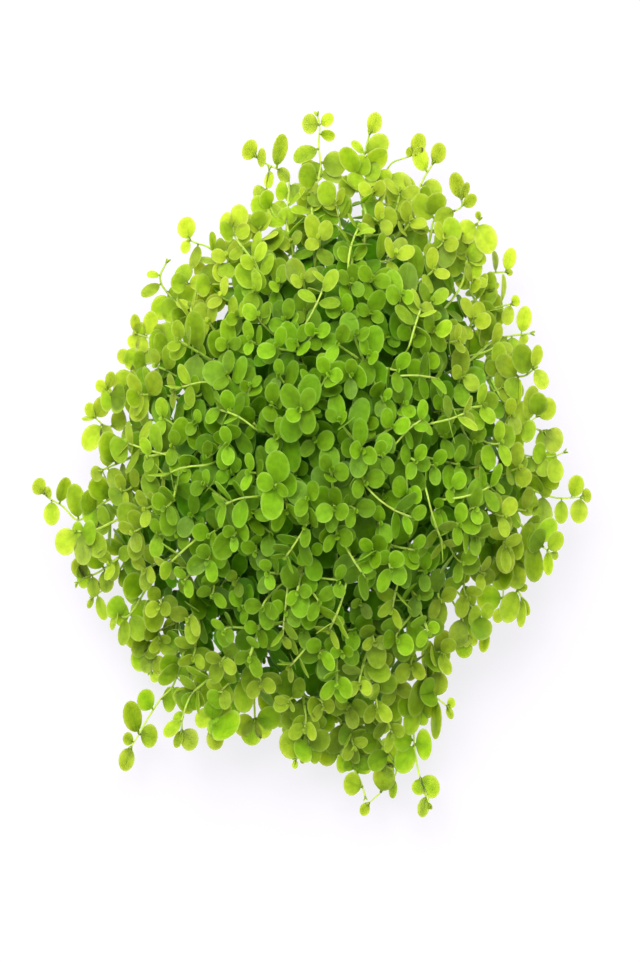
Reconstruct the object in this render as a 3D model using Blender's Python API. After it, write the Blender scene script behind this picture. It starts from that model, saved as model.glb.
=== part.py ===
"""A clump of micranthemum, lifted with its foot cut off flat, standing on a level surface.

Metres, +Z up, +Y away from the viewer. The origin is the middle of the flat cut under the root mat.
Every shoot is one closed body: a square stem whose side faces are drawn out into opposite leaves.
"""

import math
import random
from dataclasses import dataclass, field

import bmesh
import bpy
from mathutils import Matrix, Vector
from mathutils.bvhtree import BVHTree

MM = 0.001
UP = Vector((0.0, 0.0, 1.0))
SEED = 2207

# Root mat
MAT_RADIUS = 26 * MM
MAT_HEIGHT = 9.5 * MM
MAT_SIDES = 20
MAT_PROFILE = ((0.97, 0.0), (1.04, 0.22), (0.99, 0.55), (0.80, 0.82), (0.42, 0.97))
MAT_LOBES = ((5, 0.055, 0.4), (9, 0.035, 1.9))
JOINT_GAP = 0.45 * MM
# How far round the mat a stem's foot may move, in degrees, to keep clear of the others
FOOT_TURNS = (0, 3, -3, 6, -6, 9, -9, 12, -12)

# Stem
STEM_HALF_WIDTH = 0.30 * MM
NODE_HALF_LENGTH = 0.34 * MM
BUD_LENGTH = 1.0 * MM

# Leaf, in shares of its own length: where it is widest, how wide there and at its blunt end, and how
# far the blade swells up in the middle and droops at the end
LEAF_WIDEST_AT = 0.54
LEAF_WIDTH = 0.90
LEAF_END_WIDTH = 0.44
LEAF_CROWN = 0.05
LEAF_DROOP = -0.03
LEAF_HALF_THICKNESS = 0.20 * MM
# Room that leaves and stems keep round them, and how far from its stem a leaf minds its own shoot
LEAF_GAP = 0.35 * MM
MINDED_FROM = 0.30
LEAF_TRIES = 28
SHRINK_PER_TRY = 0.012
# The clump is drawn out along Y, and its leaves with it
LENGTHWAYS_STRETCH = 1.22

# Lengths of the leaves at each node, from the lowest to the tip's two crossed pairs
RIM_LEAVES = (5.3 * MM, 5.0 * MM, 4.3 * MM)
LONG_RIM_LEAVES = (5.0 * MM, 5.4 * MM, 5.0 * MM, 4.2 * MM)
INNER_LEAVES = (5.2 * MM, 5.4 * MM, 4.8 * MM, 4.0 * MM)
CROSSED_PAIR = 0.78

# Where the nodes stand along a stem, from 0 at the mat to 1 at the tip
RIM_NODES = (0.60, 0.80, 0.97)
LONG_RIM_NODES = (0.50, 0.68, 0.84, 0.975)
INNER_NODES = (0.56, 0.72, 0.87, 0.985)

# Outer shoots: the tip's place in millimetres, how far the tip's course turns off the outward one in
# degrees, and whether the sprig is a long one. They go round clockwise from the far side.
RIM_TIPS = (
    (-3.5, 79.0, 19, -10, True),
    (11.5, 78.5, 21, 8, False),
    (25.5, 70.0, 17, -6, True),
    (32.5, 61.0, 24, 0, False),
    (38.5, 49.0, 25, 20, False),
    (44.5, 42.0, 19, 38, True),
    (49.0, 28.5, 21, 12, False),
    (51.5, 17.0, 26, -8, False),
    (54.5, 1.0, 22, -6, False),
    (63.8, -14.5, 18, 6, True),
    (56.0, -26.0, 23, -8, False),
    (49.5, -40.0, 19, -10, False),
    (38.5, -53.0, 23, 6, False),
    (28.5, -66.5, 18, -12, False),
    (23.5, -94.0, 14, 8, True),
    (9.0, -93.0, 13, -12, True),
    (-7.5, -76.0, 20, 4, False),
    (-21.0, -75.5, 16, 8, False),
    (-32.5, -74.5, 21, -4, False),
    (-49.5, -80.0, 12, 16, True),
    (-46.5, -56.0, 13, -12, False),
    (-54.0, -45.0, 17, 8, False),
    (-61.5, -36.5, 14, 8, False),
    (-65.0, -26.5, 22, 4, False),
    (-73.2, -14.0, 17, -8, True),
    (-58.0, -6.5, 24, 6, False),
    (-58.5, 3.5, 18, 8, False),
    (-54.5, 14.5, 23, -8, False),
    (-49.0, 27.0, 19, 6, False),
    (-43.5, 40.0, 15, -24, True),
    (-34.0, 51.0, 22, 10, False),
    (-23.5, 57.0, 27, -8, False),
    (-18.5, 70.5, 18, 14, False),
)
RIM_FOOT_RADII = (21.5 * MM, 17.5 * MM)
RIM_START_SLOPE = 66
RIM_START_SHARE = 0.66
RIM_END_SLOPE = 20
RIM_END_SHARE = 0.42
RIM_BENDS = (0.22, 0.42)


@dataclass
class Ring:
    """Shoots that stand round the middle of the clump."""

    kind: str
    count: int
    reach_x: float
    reach_y: float
    height: float
    foot_radius: float
    turn: float
    tip_slope: float


INNER_RINGS = (
    Ring("top", 4, 10 * MM, 13 * MM, 58.5 * MM, 4.0 * MM, 20, 80),
    Ring("middle", 7, 24 * MM, 32 * MM, 49.0 * MM, 8.8 * MM, 4, 66),
    Ring("outer", 11, 41 * MM, 53 * MM, 36.0 * MM, 13.5 * MM, 15, 38),
)
RING_CENTRE = Vector((-2.5 * MM, -7.5 * MM, 0.0))
RING_STRAY = 1.8 * MM
INNER_START_SLOPE = 78
INNER_START_SHARE = 0.45
INNER_END_SHARE = 0.34

# Colour, roughness and metallic of each material
LEAF_LOOK = ((0.245, 0.462, 0.029, 1.0), 0.52, 0.0)
YOUNG_LEAF_LOOK = ((0.366, 0.591, 0.042, 1.0), 0.48, 0.0)
ROOT_LOOK = ((0.262, 0.288, 0.090, 1.0), 0.82, 0.0)


@dataclass
class Node:
    """A place on a stem where leaves stand opposite each other."""

    place: Vector
    along: Vector
    spread: Vector
    lengths: tuple
    leaves: list = field(default_factory=list)

    def directions(self):
        """The way out of each leaf: one pair, or two crossed pairs at the tip."""
        crossed = self.along.cross(self.spread)
        return [self.spread, -self.spread, crossed, -crossed][: len(self.lengths)]


@dataclass
class Shoot:
    """A stem from the mat to its tip, with the nodes that bear its leaves."""

    name: str
    curve: tuple
    bends: tuple
    nodes: list
    look: str


def clear_scene():
    for old in list(bpy.data.objects):
        bpy.data.objects.remove(old, do_unlink=True)


def own_numbers(name):
    """Random numbers that belong to one shoot and are the same every time."""
    return random.Random(f"{SEED} {name}")


def make_material(name, look):
    colour, roughness, metallic = look
    material = bpy.data.materials.new(name)
    material.use_nodes = True
    shader = material.node_tree.nodes["Principled BSDF"]
    shader.inputs["Base Color"].default_value = colour
    shader.inputs["Roughness"].default_value = roughness
    shader.inputs["Metallic"].default_value = metallic
    material.diffuse_color = colour
    return material


def make_object(name, bm, material):
    bmesh.ops.recalc_face_normals(bm, faces=bm.faces)
    mesh = bpy.data.meshes.new(name)
    bm.to_mesh(mesh)
    bm.free()
    mesh.materials.append(material)
    made = bpy.data.objects.new(name, mesh)
    bpy.context.collection.objects.link(made)
    return made


def mat_radius(angle):
    """The mat's edge swells and draws in where runners leave it."""
    swell = sum(size * math.sin(count * angle + turn) for count, size, turn in MAT_LOBES)
    return MAT_RADIUS * (1 + swell)


def build_root_mat(material):
    """A low lumpy pad with a flat cut underneath."""
    bm = bmesh.new()
    angles = [2 * math.pi * side / MAT_SIDES for side in range(MAT_SIDES)]
    rings = []
    for share, height in MAT_PROFILE:
        ring = []
        for angle in angles:
            radius = mat_radius(angle) * share
            place = (radius * math.cos(angle), radius * math.sin(angle), height * MAT_HEIGHT)
            ring.append(bm.verts.new(place))
        rings.append(ring)
    bm.faces.new(reversed(rings[0]))
    for lower, upper in zip(rings, rings[1:]):
        for side in range(MAT_SIDES):
            after = (side + 1) % MAT_SIDES
            bm.faces.new((lower[side], lower[after], upper[after], upper[side]))
    crest = bm.verts.new((0.0, 0.0, MAT_HEIGHT))
    for side in range(MAT_SIDES):
        bm.faces.new((rings[-1][side], rings[-1][(side + 1) % MAT_SIDES], crest))
    return make_object("root_mat", bm, material)


def surface_tree(mesh_object):
    mesh = mesh_object.data
    points = [vertex.co.copy() for vertex in mesh.vertices]
    faces = [tuple(face.vertices) for face in mesh.polygons]
    return BVHTree.FromPolygons(points, faces)


def foot_on_mat(mat_tree, x, y):
    """The point just above the mat where a stem begins."""
    hit = mat_tree.ray_cast(Vector((x, y, 1.0)), -UP)
    return hit[0] + UP * JOINT_GAP


def turned(vector, degrees):
    return Matrix.Rotation(math.radians(degrees), 3, UP) @ vector


def slope(outward, degrees):
    angle = math.radians(degrees)
    return outward * math.cos(angle) + UP * math.sin(angle)


def curve_point(curve, t):
    start, first, second, end = curve
    s = 1 - t
    return start * s**3 + first * (3 * s * s * t) + second * (3 * s * t * t) + end * t**3


def curve_course(curve, t):
    start, first, second, end = curve
    s = 1 - t
    course = (first - start) * (s * s) + (second - first) * (2 * s * t) + (end - second) * (t * t)
    return course.normalized()


def rim_curve(foot, tip, lean):
    """Up from the mat, out in an arch, and turned up a little at the tip."""
    flat = Vector((tip.x - foot.x, tip.y - foot.y, 0.0))
    run = flat.length
    outward = flat.normalized()
    rise = slope(turned(outward, -lean * 0.4), RIM_START_SLOPE) * (run * RIM_START_SHARE)
    arrive = slope(turned(outward, lean), RIM_END_SLOPE) * (run * RIM_END_SHARE)
    return (foot, foot + rise, tip - arrive, tip)


def inner_curve(foot, tip, tip_slope):
    """Almost straight up, then leaning out to the tip."""
    outward = Vector((tip.x - foot.x, tip.y - foot.y, 0.0)).normalized()
    reach = (tip - foot).length
    rise = slope(outward, INNER_START_SLOPE) * (reach * INNER_START_SHARE)
    arrive = slope(outward, tip_slope) * (reach * INNER_END_SHARE)
    return (foot, foot + rise, tip - arrive, tip)


def spread_at(along, order, turn):
    """Pairs cross at right angles on an upright stem, and lie flatter on a level one."""
    level = along.cross(UP)
    if level.length < 0.05:
        level = Vector((1.0, 0.0, 0.0))
    level.normalize()
    other = level.cross(along).normalized()
    uprightness = abs(along.z)
    half_cross = math.radians(24 + 21 * uprightness)
    angle = half_cross if order % 2 else -half_cross
    angle += math.radians(turn) * uprightness
    return (level * math.cos(angle) + other * math.sin(angle)).normalized()


def plan_nodes(curve, places, lengths, numbers):
    """The nodes of one stem. The last bears two crossed pairs, the others one pair each."""
    nodes = []
    turn = numbers.uniform(0, 90)
    for order, (t, length) in enumerate(zip(places, lengths)):
        length *= numbers.uniform(0.94, 1.06)
        leaves = (length, length)
        if order == len(places) - 1:
            leaves += (length * CROSSED_PAIR, length * CROSSED_PAIR)
        along = curve_course(curve, t)
        nodes.append(Node(curve_point(curve, t), along, spread_at(along, order, turn), leaves))
    return nodes


def settle_stem(plan, stems):
    """Moves a shoot's foot round the mat until its stem is clear of the other stems."""
    for foot_turn in FOOT_TURNS:
        shoot = plan(foot_turn)
        tree = stem_tree(shoot)
        if not any(tree.overlap(other) for other in stems):
            break
    stems.append(tree)
    return shoot


def plan_rim_shoot(number, foot_turn, mat_tree):
    name = f"rim_shoot_{number:02d}"
    x, y, z, lean, is_long = RIM_TIPS[number - 1]
    tip = Vector((x, y, z)) * MM
    outward = turned(Vector((tip.x, tip.y, 0.0)).normalized(), foot_turn)
    radius = RIM_FOOT_RADII[number % len(RIM_FOOT_RADII)]
    foot = foot_on_mat(mat_tree, outward.x * radius, outward.y * radius)
    curve = rim_curve(foot, tip, lean)
    places = LONG_RIM_NODES if is_long else RIM_NODES
    lengths = LONG_RIM_LEAVES if is_long else RIM_LEAVES
    nodes = plan_nodes(curve, places, lengths, own_numbers(name))
    return Shoot(name, curve, RIM_BENDS, nodes, "leaf")


def ring_tip(ring, number):
    """Where an inner shoot ends: on its ring, give or take a little."""
    numbers = own_numbers(f"{ring.kind}_shoot_{number:02d}")
    angle = math.radians(ring.turn) + 2 * math.pi * number / ring.count
    stray = Vector([numbers.uniform(-RING_STRAY, RING_STRAY) for axis in range(3)])
    reach = Vector((ring.reach_x * math.cos(angle), ring.reach_y * math.sin(angle), ring.height))
    return RING_CENTRE + reach + stray


def plan_ring_shoot(ring, number, foot_turn, mat_tree):
    name = f"{ring.kind}_shoot_{number:02d}"
    side = math.radians(ring.turn + foot_turn) + 2 * math.pi * number / ring.count
    foot = foot_on_mat(mat_tree, ring.foot_radius * math.cos(side), ring.foot_radius * math.sin(side))
    curve = inner_curve(foot, ring_tip(ring, number), ring.tip_slope)
    nodes = plan_nodes(curve, INNER_NODES, INNER_LEAVES, own_numbers(name))
    return Shoot(name, curve, (), nodes, "young leaf")


def plan_shoots(mat_tree):
    """All stems, from the middle of the clump to its rim."""
    shoots = []
    stems = []
    for ring in INNER_RINGS:
        for number in range(1, ring.count + 1):
            shoots.append(settle_stem(lambda turn: plan_ring_shoot(ring, number, turn, mat_tree), stems))
    for number in range(1, len(RIM_TIPS) + 1):
        shoots.append(settle_stem(lambda turn: plan_rim_shoot(number, turn, mat_tree), stems))
    return shoots


def stretched(vector):
    return Vector((vector.x, vector.y * LENGTHWAYS_STRETCH, vector.z))


def box_corners(centre, across, depth):
    """Four corners of a cross-section, in order round it."""
    return (
        centre - across - depth,
        centre + across - depth,
        centre + across + depth,
        centre - across + depth,
    )


@dataclass
class Leaf:
    """A flat blade: it widens from its stem to the middle, and thins to a blunt end."""

    node: Node
    outward: Vector
    length: float
    lift: float
    twist: float

    def axes(self):
        """The leaf's long axis, its width and the way that its upper side faces."""
        along = self.node.along
        long_axis = self.outward * math.cos(self.lift) + along * math.sin(self.lift)
        long_axis.normalize()
        facing = along + UP * 0.9
        facing = (facing - long_axis * facing.dot(long_axis)).normalized()
        facing = Matrix.Rotation(self.twist, 3, long_axis) @ facing
        return long_axis, facing.cross(long_axis).normalized(), facing

    def centre(self, share, rise):
        long_axis, _, facing = self.axes()
        out = stretched(long_axis * (self.length * share))
        return self.node.place + out + facing * (self.length * rise)

    def half_width(self, width):
        return stretched(self.axes()[1] * (self.length * LEAF_WIDTH * width / 2))

    def widest_ring(self, room):
        _, width_axis, facing = self.axes()
        across = self.half_width(1.0) + width_axis * room
        return box_corners(
            self.centre(LEAF_WIDEST_AT, LEAF_CROWN), across, facing * (LEAF_HALF_THICKNESS + room)
        )

    def start_ring(self, share, half_width):
        _, width_axis, facing = self.axes()
        return box_corners(
            self.centre(share, 0.0), width_axis * half_width, facing * LEAF_HALF_THICKNESS
        )

    def blunt_end(self, room):
        long_axis, width_axis, _ = self.axes()
        end = self.centre(1.0, LEAF_DROOP) + long_axis * room
        across = self.half_width(LEAF_END_WIDTH) + width_axis * room
        return (end - across, end + across)

    def tree(self, room, share, half_width):
        """A search tree of the blade from share of its length outwards, with room round it."""
        points = [*self.start_ring(share, half_width), *self.widest_ring(room), *self.blunt_end(room)]
        faces = [(corner, (corner + 1) % 4, (corner + 1) % 4 + 4, corner + 4) for corner in range(4)]
        faces += [(4, 5, 9, 8), (6, 7, 8, 9), (5, 6, 9), (7, 4, 8)]
        return BVHTree.FromPolygons(points, faces)

    def reach(self):
        return self.length * LENGTHWAYS_STRETCH * 1.2


def stem_stations(shoot):
    """Every ring of the stem: its place, its course, the way its sides look, and its node."""
    stations = []
    for t in (0.0, *shoot.bends):
        stations.append((curve_point(shoot.curve, t), curve_course(shoot.curve, t), None, None))
    for node in shoot.nodes:
        for end in (-NODE_HALF_LENGTH, NODE_HALF_LENGTH):
            stations.append((node.place + node.along * end, node.along, node.spread, node))
    return stations


def stem_rings(shoot, half_width):
    """Corner rings along the stem, each with its node. At a node two sides look along its spread."""
    rings = []
    side = shoot.nodes[0].spread
    for place, along, spread, node in stem_stations(shoot):
        if spread is not None:
            quarters = [Matrix.Rotation(math.pi / 2 * step, 3, along) @ spread for step in range(4)]
            side = max(quarters, key=side.dot)
        side = (side - along * side.dot(along)).normalized()
        depth = along.cross(side).normalized() * half_width
        rings.append((box_corners(place, side * half_width, depth), node))
    return rings


def stem_tree(shoot):
    points = []
    faces = []
    for ring, _ in stem_rings(shoot, STEM_HALF_WIDTH + LEAF_GAP):
        first = len(points)
        points.extend(ring)
        if first:
            for corner in range(4):
                after = (corner + 1) % 4
                faces.append((first - 4 + corner, first - 4 + after, first + after, first + corner))
    return BVHTree.FromPolygons(points, faces)


def is_clear(shoot, leaf, placed):
    """True if a leaf, with room round it, touches nothing. It may start at its own stem."""
    whole = leaf.tree(LEAF_GAP, 0.0, STEM_HALF_WIDTH)
    blade = leaf.tree(LEAF_GAP, MINDED_FROM, leaf.length * MINDED_FROM)
    for owner, centre, size, other in placed:
        if (centre - leaf.node.place).length > size + leaf.reach():
            continue
        mine = blade if owner == shoot.name else whole
        if mine.overlap(other):
            return False
    return True


def try_leaf(shoot, node, outward, length, placed, numbers):
    """Turns and shrinks one leaf until it is clear of everything placed, or leaves it out."""
    for attempt in range(LEAF_TRIES):
        lift = math.radians(numbers.uniform(8, 36))
        twist = math.radians(numbers.uniform(-14, 14) * (1 + attempt * 0.08))
        leaf = Leaf(node, outward, length * (1 - attempt * SHRINK_PER_TRY), lift, twist)
        if is_clear(shoot, leaf, placed):
            tree = leaf.tree(0.0, 0.0, STEM_HALF_WIDTH)
            placed.append((shoot.name, node.place, leaf.reach(), tree))
            return leaf
    return None


def place_leaves(shoots, mat_tree):
    """Leaves are placed from the tips down, so that every shoot keeps its rosette."""
    placed = [("root_mat", Vector((0.0, 0.0, 0.0)), 2 * MAT_RADIUS, mat_tree)]
    for shoot in shoots:
        reach = (shoot.curve[3] - shoot.curve[0]).length
        placed.append((shoot.name, curve_point(shoot.curve, 0.5), reach, stem_tree(shoot)))
    numbers = own_numbers("leaves")
    for step in range(1, max(len(shoot.nodes) for shoot in shoots) + 1):
        for shoot in shoots:
            if step > len(shoot.nodes):
                continue
            node = shoot.nodes[-step]
            for outward, length in zip(node.directions(), node.lengths):
                leaf = try_leaf(shoot, node, outward, length, placed, numbers)
                if leaf:
                    node.leaves.append(leaf)


def draw_out_leaf(bm, face, leaf):
    """Draws a stem's side face out into the leaf's blade."""
    widest = leaf.widest_ring(0.0)
    corners = list(face.verts)
    bm.faces.remove(face)

    def strain(turn):
        return sum((corners[(index + turn) % 4].co - widest[index]).length for index in range(4))

    turn = min(range(4), key=strain)
    start = [corners[(index + turn) % 4] for index in range(4)]
    middle = [bm.verts.new(place) for place in widest]
    left, right = [bm.verts.new(place) for place in leaf.blunt_end(0.0)]
    for index in range(4):
        after = (index + 1) % 4
        bm.faces.new((start[index], start[after], middle[after], middle[index]))
    bm.faces.new((middle[0], middle[1], right, left))
    bm.faces.new((middle[2], middle[3], left, right))
    bm.faces.new((middle[1], middle[2], right))
    bm.faces.new((middle[3], middle[0], left))


def build_shoot(shoot, material):
    bm = bmesh.new()
    rings = []
    for places, node in stem_rings(shoot, STEM_HALF_WIDTH):
        rings.append(([bm.verts.new(place) for place in places], node))
    bm.faces.new(reversed(rings[0][0]))
    node_sides = []
    for (lower, lower_node), (upper, upper_node) in zip(rings, rings[1:]):
        sides = []
        for corner in range(4):
            after = (corner + 1) % 4
            sides.append(bm.faces.new((lower[corner], lower[after], upper[after], upper[corner])))
        if lower_node is not None and lower_node is upper_node:
            node_sides.append((upper_node, sides))
    last = shoot.nodes[-1]
    bud = bm.verts.new(last.place + last.along * BUD_LENGTH)
    for corner in range(4):
        bm.faces.new((rings[-1][0][corner], rings[-1][0][(corner + 1) % 4], bud))
    bm.normal_update()
    for node, sides in node_sides:
        for leaf in node.leaves:
            side = max(sides, key=lambda face: face.normal.dot(leaf.outward))
            sides.remove(side)
            draw_out_leaf(bm, side, leaf)
    return make_object(shoot.name, bm, material)


def main():
    clear_scene()
    materials = {
        "leaf": make_material("leaf", LEAF_LOOK),
        "young leaf": make_material("young_leaf", YOUNG_LEAF_LOOK),
        "root": make_material("root", ROOT_LOOK),
    }
    mat_tree = surface_tree(build_root_mat(materials["root"]))
    shoots = plan_shoots(mat_tree)
    place_leaves(shoots, mat_tree)
    for shoot in shoots:
        build_shoot(shoot, materials[shoot.look])


main()
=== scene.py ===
"""The looks of a clump of micranthemum, grown shoot by shoot round its fixed frame.

Metres, +Z up, +Y away from the viewer, the origin in the middle of the flat cut under the root mat.
Every shoot of the frame is replaced by one mesh that follows the same stem and adds its side shoots
and small leaves. Lengths called natural are those before the clump is drawn out along Y.
"""

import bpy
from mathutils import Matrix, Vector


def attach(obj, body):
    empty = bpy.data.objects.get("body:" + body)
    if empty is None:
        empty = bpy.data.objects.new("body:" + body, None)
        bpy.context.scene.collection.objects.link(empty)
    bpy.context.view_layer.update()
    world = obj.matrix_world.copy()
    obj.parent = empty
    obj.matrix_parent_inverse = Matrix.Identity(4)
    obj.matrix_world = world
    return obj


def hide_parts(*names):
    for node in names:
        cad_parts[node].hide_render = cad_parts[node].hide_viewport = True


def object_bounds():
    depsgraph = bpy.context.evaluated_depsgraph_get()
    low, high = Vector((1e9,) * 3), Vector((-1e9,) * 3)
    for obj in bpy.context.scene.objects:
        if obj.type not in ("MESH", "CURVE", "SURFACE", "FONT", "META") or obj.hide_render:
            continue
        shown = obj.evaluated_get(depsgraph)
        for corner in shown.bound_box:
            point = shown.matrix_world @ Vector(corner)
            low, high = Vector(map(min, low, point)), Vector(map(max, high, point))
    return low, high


bl_info = {
    "name": "Micranthemum Clump",
    "version": (1, 0, 0),
    "blender": (4, 5, 0),
    "location": "3D Viewport > Sidebar > Clump",
    "description": "Grows the shoots, leaves and root mat of a clump of micranthemum",
    "category": "Object",
}

import math
import random
from dataclasses import dataclass, field

import bpy
import numpy as np
from bpy.props import FloatProperty, FloatVectorProperty, IntProperty, PointerProperty
from mathutils import Matrix, Vector, noise

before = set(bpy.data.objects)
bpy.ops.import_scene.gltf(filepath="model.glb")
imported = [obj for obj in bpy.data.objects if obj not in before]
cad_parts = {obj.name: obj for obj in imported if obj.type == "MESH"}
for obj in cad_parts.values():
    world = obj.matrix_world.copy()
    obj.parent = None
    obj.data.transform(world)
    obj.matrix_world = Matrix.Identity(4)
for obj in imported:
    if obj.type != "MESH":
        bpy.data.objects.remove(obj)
CAD_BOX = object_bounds()

MM = 0.001
UP = Vector((0.0, 0.0, 1.0))
SEED = 2207
IMAGE_HEIGHT = 962
FAR_AWAY = 1.0

# The clump's middle seen from above, and how far its leaves are drawn out along Y
CLUMP_CENTRE = Vector((-2.5 * MM, -7.5 * MM, 0.0))
LENGTHWAYS_STRETCH = 1.28
STRETCH = np.array((1.0, LENGTHWAYS_STRETCH, 1.0))

# Outer shoots, clockwise from the far side: the tip's place in millimetres, and how far the tip's
# course turns off the outward one in degrees
RIM_TIPS = (
    (-3.5, 79.0, 19, -10),
    (11.5, 78.5, 21, 8),
    (25.5, 70.0, 17, -6),
    (32.5, 61.0, 24, 0),
    (38.5, 49.0, 25, 20),
    (44.5, 42.0, 19, 38),
    (49.0, 28.5, 21, 12),
    (51.5, 17.0, 26, -8),
    (54.5, 1.0, 22, -6),
    (63.8, -14.5, 18, 6),
    (56.0, -26.0, 23, -8),
    (49.5, -40.0, 19, -10),
    (38.5, -53.0, 23, 6),
    (28.5, -66.5, 18, -12),
    (23.5, -94.0, 14, 8),
    (9.0, -93.0, 13, -12),
    (-7.5, -76.0, 20, 4),
    (-21.0, -75.5, 16, 8),
    (-32.5, -74.5, 21, -4),
    (-49.5, -80.0, 12, 16),
    (-46.5, -56.0, 13, -12),
    (-54.0, -45.0, 17, 8),
    (-61.5, -36.5, 14, 8),
    (-65.0, -26.5, 22, 4),
    (-73.2, -14.0, 17, -8),
    (-58.0, -6.5, 24, 6),
    (-58.5, 3.5, 18, 8),
    (-54.5, 14.5, 23, -8),
    (-49.0, 27.0, 19, 6),
    (-43.5, 40.0, 15, -24),
    (-34.0, 51.0, 22, 10),
    (-23.5, 57.0, 27, -8),
    (-18.5, 70.5, 18, 14),
)
# An outer shoot's slope in degrees at its foot and at its tip, each with how far it holds as a share
# of the shoot's run, and how much of the tip's turn shows at the foot
RIM_START_SLOPE = 66
RIM_START_SHARE = 0.66
RIM_END_SLOPE = 20
RIM_END_SHARE = 0.42
RIM_START_LEAN = 0.4

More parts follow.
